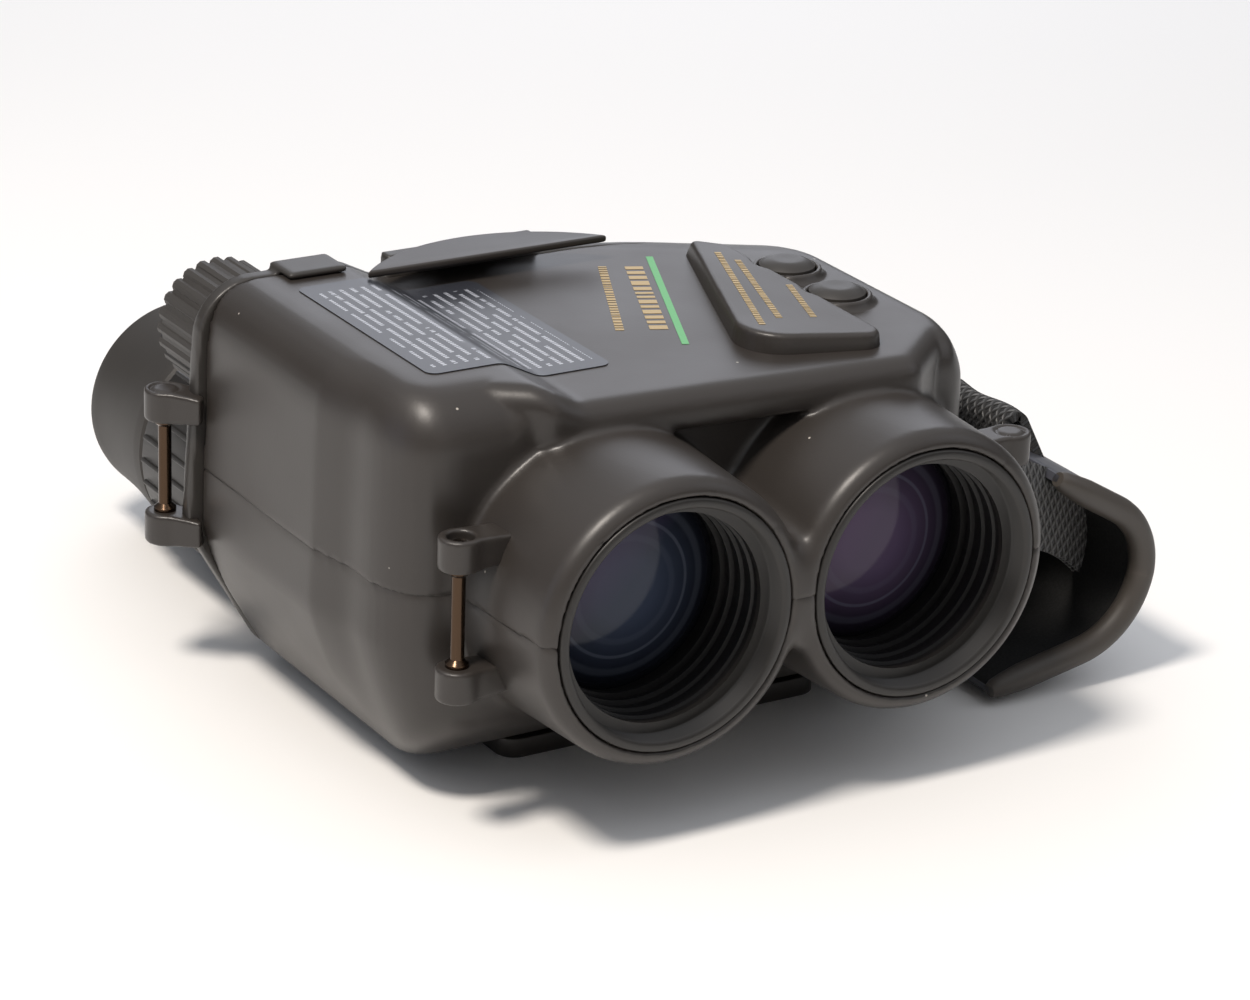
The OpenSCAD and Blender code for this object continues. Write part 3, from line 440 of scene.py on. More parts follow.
# turns the zero level of a distance field into a closed mesh of even quads
def meshFromField(name, d, grid, smooth=2):
    x, y, z = (g.ravel() for g in grid)
    step = x[1] - x[0]
    d = np.broadcast_to(d, (len(x), len(y), len(z))).astype(np.float32)
    d = np.pad(d[1:-1, 1:-1, 1:-1], 1, constant_values=step)
    inside = d < 0
    corners = [(i, j, k) for i in (0, 1) for j in (0, 1) for k in (0, 1)]
    shape = tuple(s - 1 for s in d.shape)
    count = sum(inside[i : i + shape[0], j : j + shape[1], k : k + shape[2]].astype(np.int8)
                for i, j, k in corners)
    cells = np.argwhere((count > 0) & (count < 8))
    number = np.full(shape, -1, np.int64)
    number[tuple(cells.T)] = np.arange(len(cells))
    total, hits = np.zeros((len(cells), 3)), np.zeros((len(cells), 1))
    for a in corners:
        for axis in range(3):
            if a[axis]:
                continue
            b = list(a)
            b[axis] = 1
            da, db = d[tuple((cells + a).T)], d[tuple((cells + b).T)]
            cross = (da < 0) != (db < 0)
            t = np.where(cross, da / np.where(cross, da - db, 1), 0)
            point = np.array(a, float) + t[:, None] * (np.array(b) - a)
            total += np.where(cross[:, None], point, 0)
            hits += cross[:, None]
    verts = (cells + total / hits) * step + (x[0], y[0], z[0])
    quads = []
    for axis in range(3):
        u, v = (axis + 1) % 3, (axis + 2) % 3
        near = [slice(None)] * 3
        far = [slice(None)] * 3
        near[axis], far[axis] = slice(0, -1), slice(1, None)
        flips = inside[tuple(near)] != inside[tuple(far)]
        edge = np.argwhere(flips)
        edge = edge[(edge[:, u] > 0) & (edge[:, v] > 0)]
        du, dv = np.eye(3, dtype=int)[u], np.eye(3, dtype=int)[v]
        ring = [number[tuple((edge - m).T)] for m in (du + dv, dv, 0 * du, du)]
        quad = np.stack(ring, axis=1)
        start = inside[tuple(edge.T)]
        quad[~start] = quad[~start][:, ::-1]
        quads.append(quad)
    quads = np.concatenate(quads)
    mesh = bpy.data.meshes.new(name)
    mesh.vertices.add(len(verts))
    mesh.vertices.foreach_set("co", (verts * mm).astype(np.float32).ravel())
    mesh.loops.add(quads.size)
    mesh.loops.foreach_set("vertex_index", quads.ravel().astype(np.int32))
    mesh.polygons.add(len(quads))
    mesh.polygons.foreach_set("loop_start", np.arange(0, quads.size, 4, dtype=np.int32))
    mesh.update(calc_edges=True)
    mesh.validate()
    obj = newObject(name, mesh)
    if smooth:
        calm = obj.modifiers.new("calm", "SMOOTH")
        calm.factor, calm.iterations = 0.5, smooth
        bakeModifiers(obj)
    obj.data.shade_smooth()
    return obj


def bakeModifiers(obj):
    dg = bpy.context.evaluated_depsgraph_get()
    baked = bpy.data.meshes.new_from_object(obj.evaluated_get(dg))
    old = obj.data
    obj.modifiers.clear()
    obj.data = baked
    bpy.data.meshes.remove(old)
    baked.name = obj.name


def cleanUp(obj, angle=35, doubles=0.004):
    bm = bmesh.new()
    bm.from_mesh(obj.data)
    bmesh.ops.remove_doubles(bm, verts=bm.verts, dist=doubles * mm)
    bmesh.ops.recalc_face_normals(bm, faces=bm.faces)
    bm.to_mesh(obj.data)
    bm.free()
    obj.data.shade_smooth()
    obj.data.set_sharp_from_angle(angle=math.radians(angle))
    return obj


# turns a closed profile of (radius, distance along the axis) about an axis through centre
def turnedPiece(name, profile, centre, axis="y", steps=128, angle=35):
    points = np.array(profile, float)
    spin = np.linspace(0, 2 * math.pi, steps, endpoint=False)
    r, along = points[:, 0][:, None], np.repeat(points[:, 1][:, None], steps, 1)
    a, b = r * np.cos(spin), r * np.sin(spin)
    order = {"y": (a, along, b), "z": (a, b, along), "x": (along, a, b)}[axis]
    verts = np.stack(order, axis=-1).reshape(-1, 3) + np.array(centre, float)
    n = len(points)
    faces = []
    for i in range(n):
        j = (i + 1) % n
        if points[i, 0] < 1e-6 and points[j, 0] < 1e-6:
            continue
        faces += [(i * steps + k, j * steps + k, j * steps + (k + 1) % steps, i * steps + (k + 1) % steps)
                  for k in range(steps)]
    mesh = bpy.data.meshes.new(name)
    mesh.from_pydata((verts * mm).tolist(), [], faces)
    return cleanUp(newObject(name, mesh), angle)


# ribs with round ends, spaced evenly round the Z axis from z = 0 up, made by geometry nodes
def ribTree():
    tree = bpy.data.node_groups.new("ribsRoundAxis", "GeometryNodeTree")
    tree.interface.new_socket("Geometry", in_out="OUTPUT", socket_type="NodeSocketGeometry")
    for name, kind in (("Count", "NodeSocketInt"), ("Radius", "NodeSocketFloat"), ("Length", "NodeSocketFloat"),
                       ("Width", "NodeSocketFloat"), ("Material", "NodeSocketMaterial")):
        tree.interface.new_socket(name, in_out="INPUT", socket_type=kind)
    given = tree.nodes.new("NodeGroupInput").outputs
    ring = addNode(tree, "GeometryNodeMeshCircle", {"Vertices": given["Count"], "Radius": given["Radius"]})
    ring = ring.outputs[0]
    end = addNode(tree, "ShaderNodeCombineXYZ", {2: given["Length"]}).outputs[0]
    line = addNode(tree, "GeometryNodeCurvePrimitiveLine", {"End": end}).outputs[0]
    line = addNode(tree, "GeometryNodeResampleCurve", {"Curve": line, "Count": 17}).outputs[0]
    # t runs from 0 to 1, and the rib is as thick as the root of 1 - |2t - 1| ^ 14, so its ends are round
    t = addNode(tree, "GeometryNodeSplineParameter").outputs["Factor"]
    t = addNode(tree, mathNode, [t, 2.0, -1.0], operation="MULTIPLY_ADD").outputs[0]
    t = addNode(tree, mathNode, [t], operation="ABSOLUTE").outputs[0]
    t = addNode(tree, mathNode, [t, 14.0], operation="POWER").outputs[0]
    t = addNode(tree, mathNode, [1.0, t], operation="SUBTRACT").outputs[0]
    t = addNode(tree, mathNode, [t, 0.5], operation="POWER").outputs[0]
    line = addNode(tree, "GeometryNodeSetCurveRadius", {"Curve": line, "Radius": t}).outputs[0]
    half = addNode(tree, mathNode, [given["Width"], 0.5], operation="MULTIPLY").outputs[0]
    circle = addNode(tree, "GeometryNodeCurvePrimitiveCircle", {"Resolution": 10, "Radius": half}).outputs[0]
    rib = addNode(tree, "GeometryNodeCurveToMesh", {"Curve": line, "Profile Curve": circle, "Fill Caps": True})
    rib = rib.outputs[0]
    many = addNode(tree, "GeometryNodeInstanceOnPoints", {"Points": ring, "Instance": rib}).outputs[0]
    whole = addNode(tree, "GeometryNodeRealizeInstances", {"Geometry": many}).outputs[0]
    painted = addNode(tree, "GeometryNodeSetMaterial", {"Geometry": whole, "Material": given["Material"]})
    addNode(tree, "NodeGroupOutput", {"Geometry": painted.outputs[0]})
    return tree


ribs = ribTree()


def ribbedRing(name, count, radius, length, width, centre, material):
    holder = newObject(name, bpy.data.meshes.new(name))
    mod = holder.modifiers.new("ribs", "NODES")
    mod.node_group = ribs
    sizes = {"Count": count, "Radius": radius * mm, "Length": length * mm, "Width": width * mm,
             "Material": material}
    for item in ribs.interface.items_tree:
        if item.item_type == "SOCKET" and item.in_out == "INPUT":
            mod[item.identifier] = sizes[item.name]
    bakeModifiers(holder)
    # stand the ring up so that the ribs run along Y
    holder.data.transform(Matrix.Translation(Vector(centre) * mm) @ Matrix.Rotation(math.radians(-90), 4, "X"))
    holder.data.shade_smooth()
    return holder


def joinObjects(name, *objs):
    bm = bmesh.new()
    for o in objs:
        bm.from_mesh(o.data)
    mesh = bpy.data.meshes.new(name)
    bm.to_mesh(mesh)
    bm.free()
    mesh.materials.append(objs[0].data.materials[0])
    for o in objs:
        bpy.data.objects.remove(o)
    obj = newObject(name, mesh)
    obj.data.shade_smooth()
    obj.data.set_sharp_from_angle(angle=math.radians(35))
    return obj


# a smoothly bevelled copy of a CAD node
def bevelledCopy(name, node, width, segments=3, angle=30):
    obj = newObject(name, nodes[node].data.copy())
    obj.data.materials.clear()
    bm = bmesh.new()
    bm.from_mesh(obj.data)
    bmesh.ops.remove_doubles(bm, verts=bm.verts, dist=0.002 * mm)
    bmesh.ops.dissolve_limit(bm, angle_limit=math.radians(1), verts=bm.verts, edges=bm.edges)
    bm.to_mesh(obj.data)
    bm.free()
    bevel = obj.modifiers.new("bevel", "BEVEL")
    bevel.width, bevel.segments = width * mm, segments
    bevel.limit_method, bevel.angle_limit = "ANGLE", math.radians(angle)
    bevel.use_clamp_overlap = True
    bakeModifiers(obj)
    obj.data.shade_smooth()
    obj.data.set_sharp_from_angle(angle=math.radians(50))
    return obj


# the moulded body, from the frame: sections in x and z, plans in x and y
lowerLo, lowerHi = boxMm("bottom_housing")
upperLo, upperHi = boxMm("top_housing")
halfW = lowerHi[0]
frontY, coverY = lowerLo[1], lowerHi[1]
axisZ, bulgeZ = upperLo[2], upperHi[2]
flatZ = bulgeZ - 4
floorZ = boxMm("base_plate")[0][2] + 4
optX = centreMm("objective_ring_right")[0]
faceY = coverY - 76.5

bodyStyle = {
    "wall": 2.5,
    "step": 0.76,  # spacing of the surface mesh
    "bulgeSoft": 11.0,  # the grip's front corner is a thumb-wide round
    "noseSoft": 3.5,
    "rightSoft": 8.0,
    "barrelR": 28.0,
    "flare": 1.5,
    "rimRound": 3.6,
    "browZ": 70.5,  # underside of the brow between the barrels
    "boreR": 24.6,  # seat of the retaining ring
    "throatR": 22.6,
    "joint": 0.16,  # rounding along the joint of the shells
    "bushR": 8.6,  # hole for the tripod bush
}

bodySection = [
    (-halfW + 16.5, floorZ, 5), (halfW - 16.5, floorZ, 5), (halfW, floorZ + 28, 10), (halfW - 2, axisZ + 8, 12),
    (halfW - 12, flatZ - 5, 8), (halfW - 19, flatZ, 5), (-halfW + 41.5, flatZ, 7), (-halfW + 33.5, bulgeZ, 7),
    (-halfW + 3, bulgeZ, 12), (-halfW, floorZ + 28, 10)]
bodyPlan = [
    (-halfW - 1, coverY + 9), (-halfW - 1, 0, 8), (-halfW + 3, -10, 12), (-halfW + 3, faceY, 15),
    (-44, faceY - 1.5, 8), (44, faceY - 1.5, 8), (55, faceY, 8), (halfW - 1, -4, 14), (halfW + 1, 4, 4),
    (halfW + 1, coverY + 9)]
# the rear right corner of the top slopes away: a point on the slope and its direction
cornerSlope = {"at": (halfW - 41, coverY + 2, flatZ), "turn": math.radians(60), "tilt": math.radians(33),
               "soft": 7.0}
browPlan = [
    (-50, faceY + 4), (-38, faceY - 4, 5), (38, faceY - 9.5, 6), (56, faceY + 6, 8), (54, 0), (-46, 0)]


def sectionField(x, y, z):
    c = cornerSlope
    out = (x - c["at"][0]) * math.cos(c["turn"]) + (y - c["at"][1]) * math.sin(c["turn"])
    slope = out * math.sin(c["tilt"]) + (z - c["at"][2]) * math.cos(c["tilt"])
    return softMax(outlineDistance(roundedLoop(bodySection), x, z), slope, c["soft"])


def bodyFields(grid):
    x, y, z = grid
    s = bodyStyle
    section = sectionField(x, y, z)
    plan = outlineDistance(roundedLoop(bodyPlan), x, y)
    blendX = np.clip((x + 46) / 10, 0, 1)
    soft = s["bulgeSoft"] + (s["noseSoft"] - s["bulgeSoft"]) * blendX
    soft = soft + (s["rightSoft"] - s["noseSoft"]) * np.clip((x - 34) / 12, 0, 1)
    block = softMax(section, plan, soft)
    # the front of the underside slopes up under the barrels
    slope = (-(y - faceY) * 0.62 - (z - floorZ) * 0.785) + 9.0
    block = softMax(block, slope, 5)
    brow = softMax(section, outlineDistance(roundedLoop(browPlan), x, y), 4.5)
    # its underside runs out where it turns down past the right barrel
    brow = softMax(brow, s["browZ"] - 60 * np.clip((x - 36) / 8, 0, 1) - z, 1.6)
    block = np.minimum(block, brow)
    barrels = None
    for side in (-1, 1):
        r = np.hypot(x - side * optX, z - axisZ)
        flare = s["flare"] * np.clip((y - frontY - s["rimRound"]) / 31, 0, 1.2)
        tube = softMax(softMax(r - s["barrelR"] - flare, frontY - y, s["rimRound"]), y - faceY - 8, 0.5)
        barrels = tube if barrels is None else softMin(barrels, tube, 4.5)
    outer = softMin(block, barrels, 1.3)
    bores = None
    for side in (-1, 1):
        r = np.hypot(x - side * optX, z - axisZ)
        bore = np.maximum(r - s["boreR"], y - frontY - 5.5)
        bore = np.minimum(bore, np.maximum(r - s["throatR"], y - faceY - 12))
        bores = bore if bores is None else np.minimum(bores, bore)
    return block, softMax(outer, -bores, 0.7)


buttonAt = [centreMm(n) for n in ("power_on_button", "power_off_button")]
collar = {"out": 7.1, "hole": 5.9, "rise": 1.8}
hatchLo, hatchHi = boxMm("battery_door")
hatch = ((halfW - 29.5, faceY + 20, -5), (halfW - 11.5, coverY - 2, floorZ + 13))
hatchGap = 0.25
hinge = {"y": faceY + 19.2, "z": floorZ - 0.8, "r": 1.5, "from": hatchLo[0] + 0.3, "to": hatchLo[0] + 10.5,
         "width": 2.6}


def makeShells():
    step = bodyStyle["step"]
    grid = gridOver((-halfW - 2, frontY - 2, floorZ - 2), (halfW + 2, coverY + 2, bulgeZ + 2), step)
    x, y, z = grid
    block, outer = bodyFields(grid)
    shell = np.maximum(np.maximum(outer, -(block + bodyStyle["wall"])), y - coverY)
    collars, holes = None, None
    for b in buttonAt:
        r = np.hypot(x - b[0], y - b[1])
        post = softMax(softMax(r - collar["out"], z - flatZ - collar["rise"], 0.7), flatZ - 2 - z, 0.5)
        hole = np.maximum(r - collar["hole"], flatZ - 4 - z)
        collars = post if collars is None else np.minimum(collars, post)
        holes = hole if holes is None else np.minimum(holes, hole)
    # a narrow groove runs along the joint of the two shells
    upper = softMax(softMin(shell, collars, 0.8), -holes, 0.4)
    upper = softMax(upper, axisZ + 0.05 - z, bodyStyle["joint"])
    top = meshFromField("upperShell", upper, grid)
    (lowX, lowY, _), (highX, highY, highZ) = hatch
    door = outlineDistance([(lowX, lowY), (highX, lowY), (highX, highY), (lowX, highY)], x, y)
    door = np.maximum(door, z - highZ)
    lower = softMax(shell, z - axisZ + 0.05, bodyStyle["joint"])
    lower = np.minimum(lower, np.maximum(shell + 0.3, np.maximum(z - axisZ - 1.5, axisZ - 1 - z)))
    lower = softMax(lower, -(door - hatchGap), 0.3)
    pin = np.hypot(y - hinge["y"], z - hinge["z"]) - hinge["r"]
    middle = (hinge["from"] + hinge["to"]) / 2
    half = (hinge["to"] - hinge["from"]) / 2
    away = np.abs(x - middle)
    outerKnuckles = np.maximum(np.maximum(pin, away - half), half - hinge["width"] - away)
    lower = np.minimum(np.maximum(lower, -np.maximum(pin - 0.4, away - half + hinge["width"])),
                       np.maximum(outerKnuckles, -(door - hatchGap)))
    lower = np.maximum(lower, -(np.hypot(x, y) - bodyStyle["bushR"]))
    bottom = meshFromField("lowerShell", lower, grid)
    finishPiece(top, "root", "shell_plastic", "top_housing")
    finishPiece(bottom, "root", "shell_plastic", "bottom_housing")
    skin = np.maximum(block, -(block + bodyStyle["wall"]))
    lid = softMax(skin, np.maximum(door + hatchGap, y - hatchHi[1]), 0.3)
    inner = half - hinge["width"] - 0.3
    tab = np.maximum(np.abs(z - hinge["z"]) - 0.9, np.abs(y - hinge["y"] - 1.9) - 1.9)
    lid = np.minimum(lid, np.minimum(np.maximum(pin, away - inner), np.maximum(away - inner, tab)))
    lidObj = meshFromField("batteryHatch", lid, grid)
    finishPiece(lidObj, "battery_door", "shell_plastic", "battery_door")
    for o in (top, bottom, lidObj):
        print(o.name, len(o.data.polygons), "quads")


makeShells()
print("shells ready")


# the rear cover carries a tongue, the visor and the knob's bearing
coverLo, coverHi = boxMm("rear_cover")
knobAt = centreMm("focus_knob")
rearY = coverY + 4
cover = {"step": 0.6, "edge": 1.2, "tongue": (-halfW + 19.5, -halfW + 32), "stem": (-29.6, 4.4), "neckR": 14.1}


def makeRearCover():
    grid = gridOver((-halfW - 2, coverY - 7, floorZ - 2), (halfW + 2, rearY + 3, coverHi[2] + 2), cover["step"])
    x, y, z = grid
    section = sectionField(x, y, z)
    plate = softMax(softMax(section, y - rearY, cover["edge"]), coverY + 0.15 - y, 0.3)
    a, b = cover["tongue"]
    tongue = boxField(grid, (a, coverY - 5, bulgeZ + 0.1), (b, rearY + 0.4, coverHi[2]), 0.5)
    tongue = np.minimum(tongue, boxField(grid, (a, coverY + 1, bulgeZ - 3), (b, rearY + 0.4, coverHi[2]), 0.5))
    stemFrom, stemTo = cover["stem"]
    stem = boxField(grid, (stemFrom, coverY + 0.5, flatZ - 3), (stemTo, rearY, boxMm("rear_visor")[0][2]), 0.4)
    d = softMin(plate, np.minimum(tongue, stem), 0.8)
    d = np.minimum(d, np.maximum(np.hypot(x - knobAt[0], z - knobAt[2]) - 5.6, np.abs(y - coverY + 1) - 5))
    for side in (-1, 1):
        d = softMax(d, -(np.hypot(x - side * optX, z - axisZ) - cover["neckR"]), 0.4)
    d = np.maximum(d, -(np.hypot(x - knobAt[0], z - knobAt[2]) - 2.1))
    finishPiece(meshFromField("rearCover", d, grid), "root", "dark_plastic", "rear_cover")
    finishPiece(bevelledCopy("rearVisor", "rear_visor", 0.45), "root", "shell_plastic", "rear_visor")
    finishPiece(bevelledCopy("basePlate", "base_plate", 0.8), "root", "dark_plastic", "base_plate")


makeRearCover()
print("rear cover ready")


# the button panel is a raised wedge on the flat top
panelLo, panelHi = boxMm("button_panel")
panel = {"step": 0.4, "edge": 0.9, "wellR": 7.3, "rise": 0.045, "right": 36.0}
# where the left slope of the wedge meets the flat
footLine = ((optX - 13.05, faceY + 28.6), (optX + 3.15, faceY + 64.6))


def makePanel():
    lo, hi = panelLo, panelHi
    outline = [(lo[0], lo[1] + 8, 9), (hi[0] - 1, lo[1], 4), (hi[0], hi[1] - 6, 2), (hi[0] - 6.5, hi[1], 1.5)]
    grid = gridOver((lo[0] - 2, lo[1] - 2, flatZ - 1.5), (hi[0] + 2, hi[1] + 2, hi[2] + 2.5), panel["step"])
    x, y, z = grid
    wall = outlineDistance(roundedLoop(outline), x, y) + np.clip(z - flatZ, -1, 5) * 0.12
    a, b = np.array(footLine)
    along = (b - a) / np.linalg.norm(b - a)
    # the left side leans well in, and the top rises a little towards it
    lean = (-(x - a[0]) * along[1] + (y - a[1]) * along[0]) * 0.844 + (z - flatZ) * 0.537
    top = z - hi[2] - (panel["right"] - x) * panel["rise"]
    d = softMax(softMax(wall, lean, 1.5), top, panel["edge"])
    d = softMax(d, flatZ - 0.8 - z, 0.2)
    for b in buttonAt:
        d = softMax(d, -(np.hypot(x - b[0], y - b[1]) - panel["wellR"]), 0.3)
    finishPiece(meshFromField("buttonPanel", d, grid), "root", "shell_plastic", "button_panel")


button = {"r": 5.6, "dome": 1.5, "dish": 0.35}


def makeButton(name, node):
    lo, hi = boxMm(node)
    x, y, _ = (lo + hi) / 2
    top = hi[2]
    r = button["r"]
    crown = [(r * t, top - button["dome"] * t ** 3 - button["dish"] * (1 - min(1, (t / 0.55) ** 2)))
             for t in np.linspace(1, 0, 15)]
    profile = [(0, lo[2]), (r - 1.4, lo[2]), (r - 1.4, top - 6.8), (r, top - 6.8)] + crown
    finishPiece(turnedPiece(name, profile, (x, y, 0), axis="z", steps=64), node, "dark_plastic", node)


# thin flat prints from outlines in x and y, lying on the height that top(x) gives
def printOnTop(name, outlines, top, ink, thick=0.07):
    verts, faces = [], []
    for outline in outlines:
        if np.cross(outline[1] - outline[0], outline[2] - outline[1]) < 0:
            outline = outline[::-1]
        n, first = len(outline), len(verts)
        for lift in (-0.05, thick):
            verts += [(px * mm, py * mm, (top(px) + lift) * mm) for px, py in outline]
        faces += [tuple(first + i for i in reversed(range(n))), tuple(first + n + i for i in range(n))]
        faces += [(first + i, first + (i + 1) % n, first + n + (i + 1) % n, first + n + i) for i in range(n)]
    mesh = bpy.data.meshes.new(name)
    mesh.from_pydata(verts, [], faces)
    return finishPiece(newObject(name, mesh), "root", "label_film", material=ink)


stripe = {"from": (2.4, -12.2), "to": (23.4, 35.4), "width": 1.4}
# rows of plain strokes in place of the captions: start, end, height of the strokes, and 1 for those on the panel
captionRows = [((32.2, 23.9), (15.4, -18.7), 1.3, 1), ((33.3, 18.2), (20.8, -16.4), 1.3, 1),
               ((34.3, 1.1), (27.7, -17.6), 1.3, 1), ((17.3, 31.4), (1.9, -3.7), 3.6, 0),
               ((11.6, 34.1), (-5.0, -0.4), 1.7, 0)]
strokeLength, strokeGap = (0.25, 0.7), 0.34  # in heights of the row


def dashQuad(a, b, height):
    side = np.array((-(b - a)[1], (b - a)[0])) / np.linalg.norm(b - a) * height / 2
    return [a + side, a - side, b - side, b + side]


def makePrints():
    band = dashQuad(np.array(stripe["from"]), np.array(stripe["to"]), stripe["width"])
    printOnTop("greenStripe", [band], lambda x: flatZ, greenInk)
    rng = np.random.default_rng(4)
    dashes = {0: [], 1: []}
    for start, end, height, level in captionRows:
        a, b = np.array(start), np.array(end)
        reach = np.linalg.norm(b - a)
        along, t = (b - a) / reach, 0.0
        while t < reach - 0.8:
            length = min(height * rng.uniform(*strokeLength), reach - t)
            dashes[level].append(dashQuad(a + along * t, a + along * (t + length), height))
            t += length + height * strokeGap
    printOnTop("topDashes", dashes[0], lambda x: flatZ, goldInk)
    printOnTop("panelDashes", dashes[1], lambda x: panelHi[2] + (panel["right"] - x) * panel["rise"], goldInk)


labelLo, labelHi = boxMm("label_sheet")
label = {"round": 2.2, "lift": 0.05, "thick": 0.15, "step": 1.0}


def makeLabel():
    # height of the moulded top at each x
    outline = roundedLoop(bodySection)
    crest = sorted((px, pz) for px, pz in outline if pz > flatZ - 3)
    xs, zs = np.array(crest).T
    corners = [(labelLo[0], labelLo[1], label["round"]), (labelHi[0], labelLo[1], label["round"]),
               (labelHi[0], labelHi[1], label["round"]), (labelLo[0], labelHi[1], label["round"])]
    bm = bmesh.new()
    bm.faces.new([bm.verts.new((px * mm, py * mm, 0)) for px, py in roundedLoop(corners)])
    for cut in np.arange(labelLo[0] + 1, labelHi[0], label["step"]):
        whole = bm.verts[:] + bm.edges[:] + bm.faces[:]
        bmesh.ops.bisect_plane(bm, geom=whole, plane_co=(cut * mm, 0, 0), plane_no=(1, 0, 0))
    for v in bm.verts:
        v.co.z = (np.interp(v.co.x / mm, xs, zs) + label["lift"]) * mm
    bmesh.ops.recalc_face_normals(bm, faces=bm.faces)
    if sum(f.normal.z for f in bm.faces) < 0:
        bmesh.ops.reverse_faces(bm, faces=bm.faces)
    layer = bm.loops.layers.uv.new("UVMap")
    for f in bm.faces:
        for loop in f.loops:
            loop[layer].uv = (loop.vert.co.x - labelLo[0] * mm, loop.vert.co.y - labelLo[1] * mm)
    mesh = bpy.data.meshes.new("infoLabel")
    bm.to_mesh(mesh)
    bm.free()
    obj = newObject("infoLabel", mesh)
    wall = obj.modifiers.new("thickness", "SOLIDIFY")
    wall.thickness, wall.offset = label["thick"] * mm, 1
    bakeModifiers(obj)
    obj.data.shade_smooth()
    obj.data.set_sharp_from_angle(angle=math.radians(40))
    finishPiece(obj, "root", "label_film", "label_sheet", material=labelFilm)


makePanel()
makeButton("powerOnButton", "power_on_button")
makeButton("powerOffButton", "power_off_button")
makePrints()
makeLabel()
print("controls and prints ready")


# each objective is a retaining ring, a ribbed cell and a lens
objective = {"threadPitch": 0.72, "threadDepth": 0.34, "threads": 6, "threadR": 22.5, "ringR": 24.5,
             "cellR": 20.8, "lensR": 20.2}


def makeObjective(side, sign, glass):
    x = sign * optX
    lo, hi = boxMm("objective_ring_" + side)
    y0, y1 = lo[1], hi[1]
    inner, outer, r = objective["threadR"], objective["ringR"], objective["cellR"]
    thread = []
    for i in range(objective["threads"]):
        y = y1 - 1.3 - i * objective["threadPitch"]
        thread += [(inner, y), (inner + objective["threadDepth"], y - objective["threadPitch"] * 0.5)]
    ring = thread + [(inner, y0 + 0.5), (22.8, y0 + 0.15), (23.3, y0), (24.2, y0 + 0.02), (outer, y0 + 0.35),
                     (outer, y1), (20.4, y1), (20.4, y1 - 1.1), (22.3, y1 - 1.2)]
    ringPiece = turnedPiece("retainingRing" + side.title(), ring, (x, 0, axisZ), angle=50)
    finishPiece(ringPiece, "root", "ring_plastic", "objective_ring_" + side)
    lo, hi = boxMm("objective_cell_" + side)
    a, b = lo[1], hi[1]
    lensLo, lensHi = boxMm("objective_lens_" + side)
    front = lensLo[1]
    cell = [(22.4, a), (22.4, b), (16, b), (16, b - 2), (20.4, b - 2), (20.4, lensHi[1] + 0.1),
            (20.25, lensHi[1] + 0.1), (20.25, front - 0.1), (19.5, front - 0.4), (19.5, front - 1.5),
            (r, front - 1.7)]
    y = front - 3.2
    for depth in (0.9, 0.7, 0.6):
        cell += [(r, y), (r - depth, y - 0.25), (r - depth, y - 0.95), (r, y - 1.2)]
        y -= 3.4
    cell += [(r, a)]
    finishPiece(turnedPiece("lensCell" + side.title(), cell, (x, 0, axisZ), angle=50), "root", "baffle_black",
                "objective_cell_" + side)
    r = objective["lensR"]
    dome = [(r * t, front + 2.2 * t * t) for t in np.linspace(1, 0, 17)]
    lens = [(0, lensHi[1]), (r, lensHi[1])] + dome
    finishPiece(turnedPiece("objectiveGlass" + side.title(), lens, (x, 0, axisZ)), "root", "coated_glass",
                "objective_lens_" + side, material=glass)


makeObjective("left", -1, lensLeft)
makeObjective("right", 1, lensRight)
print("objectives ready")


lug = {"step": 0.42, "eyeR": 4.0, "gap": 19.2, "ear": 6.4, "edge": 0.5, "pocketR": 2.6}


# two rounded ears whose arms taper into the body; the front left one has an open pocket on top, the others a
# shallow ring groove
def makeLug(name, node, pinNode, sign, front):
    p = centreMm(pinNode)[:2]
    q = np.array((sign * (optX + 20), p[1] + 1)) if front else np.array((sign * (halfW - 4), rearY - 4))
    lo, hi = boxMm(node)
    low = np.minimum(lo, (*(np.minimum(p, q) - 5), lo[2]))
    high = np.maximum(hi, (*(np.maximum(p, q) + 5), hi[2]))
    grid = gridOver(low - 2, high + 2, lug["step"])
    x, y, z = grid
    axis = (q - p) / np.linalg.norm(q - p)
    t = (x - p[0]) * axis[0] + (y - p[1]) * axis[1]
    off = np.abs(-(x - p[0]) * axis[1] + (y - p[1]) * axis[0])
    eye = np.hypot(x - p[0], y - p[1]) - lug["eyeR"]
    arm = np.maximum(np.maximum(off - (lug["eyeR"] - 0.5), -t), t - np.linalg.norm(q - p))
    flat = softMin(eye, arm, 0.6)
    d = None
    for zMid in (axisZ - lug["gap"] / 2 - lug["ear"] / 2, axisZ + lug["gap"] / 2 + lug["ear"] / 2):
        # the arm is thinner than the eye and droops a little towards the body
        half = lug["ear"] / 2 - np.clip((t - 2) / 14, 0, 1) * 1.1
        ear = softMax(flat, np.abs(z - zMid) - half, lug["edge"])
        d = ear if d is None else np.minimum(d, ear)
    top = axisZ + lug["gap"] / 2 + lug["ear"]
    if front and sign < 0:
        pocket = np.maximum(np.hypot(x - p[0] - 0.2, y - p[1]) - lug["pocketR"], top - 2.2 - z)
        d = softMax(d, -pocket, 0.3)
    else:
        seam = np.maximum(np.abs(np.hypot(x - p[0], y - p[1]) - lug["pocketR"] - 0.2) - 0.25, top - 0.5 - z)
        d = np.maximum(d, -seam)
    # keep clear of the hollow of the shells
    section, plan = outlineDistance(roundedLoop(bodySection), x, z), outlineDistance(roundedLoop(bodyPlan), x, y)
    block = softMax(section, plan, 6.0)
    r = np.hypot(x - sign * optX, z - axisZ) - 26.5
    hollow = np.minimum(block, r) if front else np.maximum(block, y - rearY)
    d = np.maximum(d, -(hollow + 1.2))
    finishPiece(meshFromField(name, d, grid), "root", "shell_plastic", node)


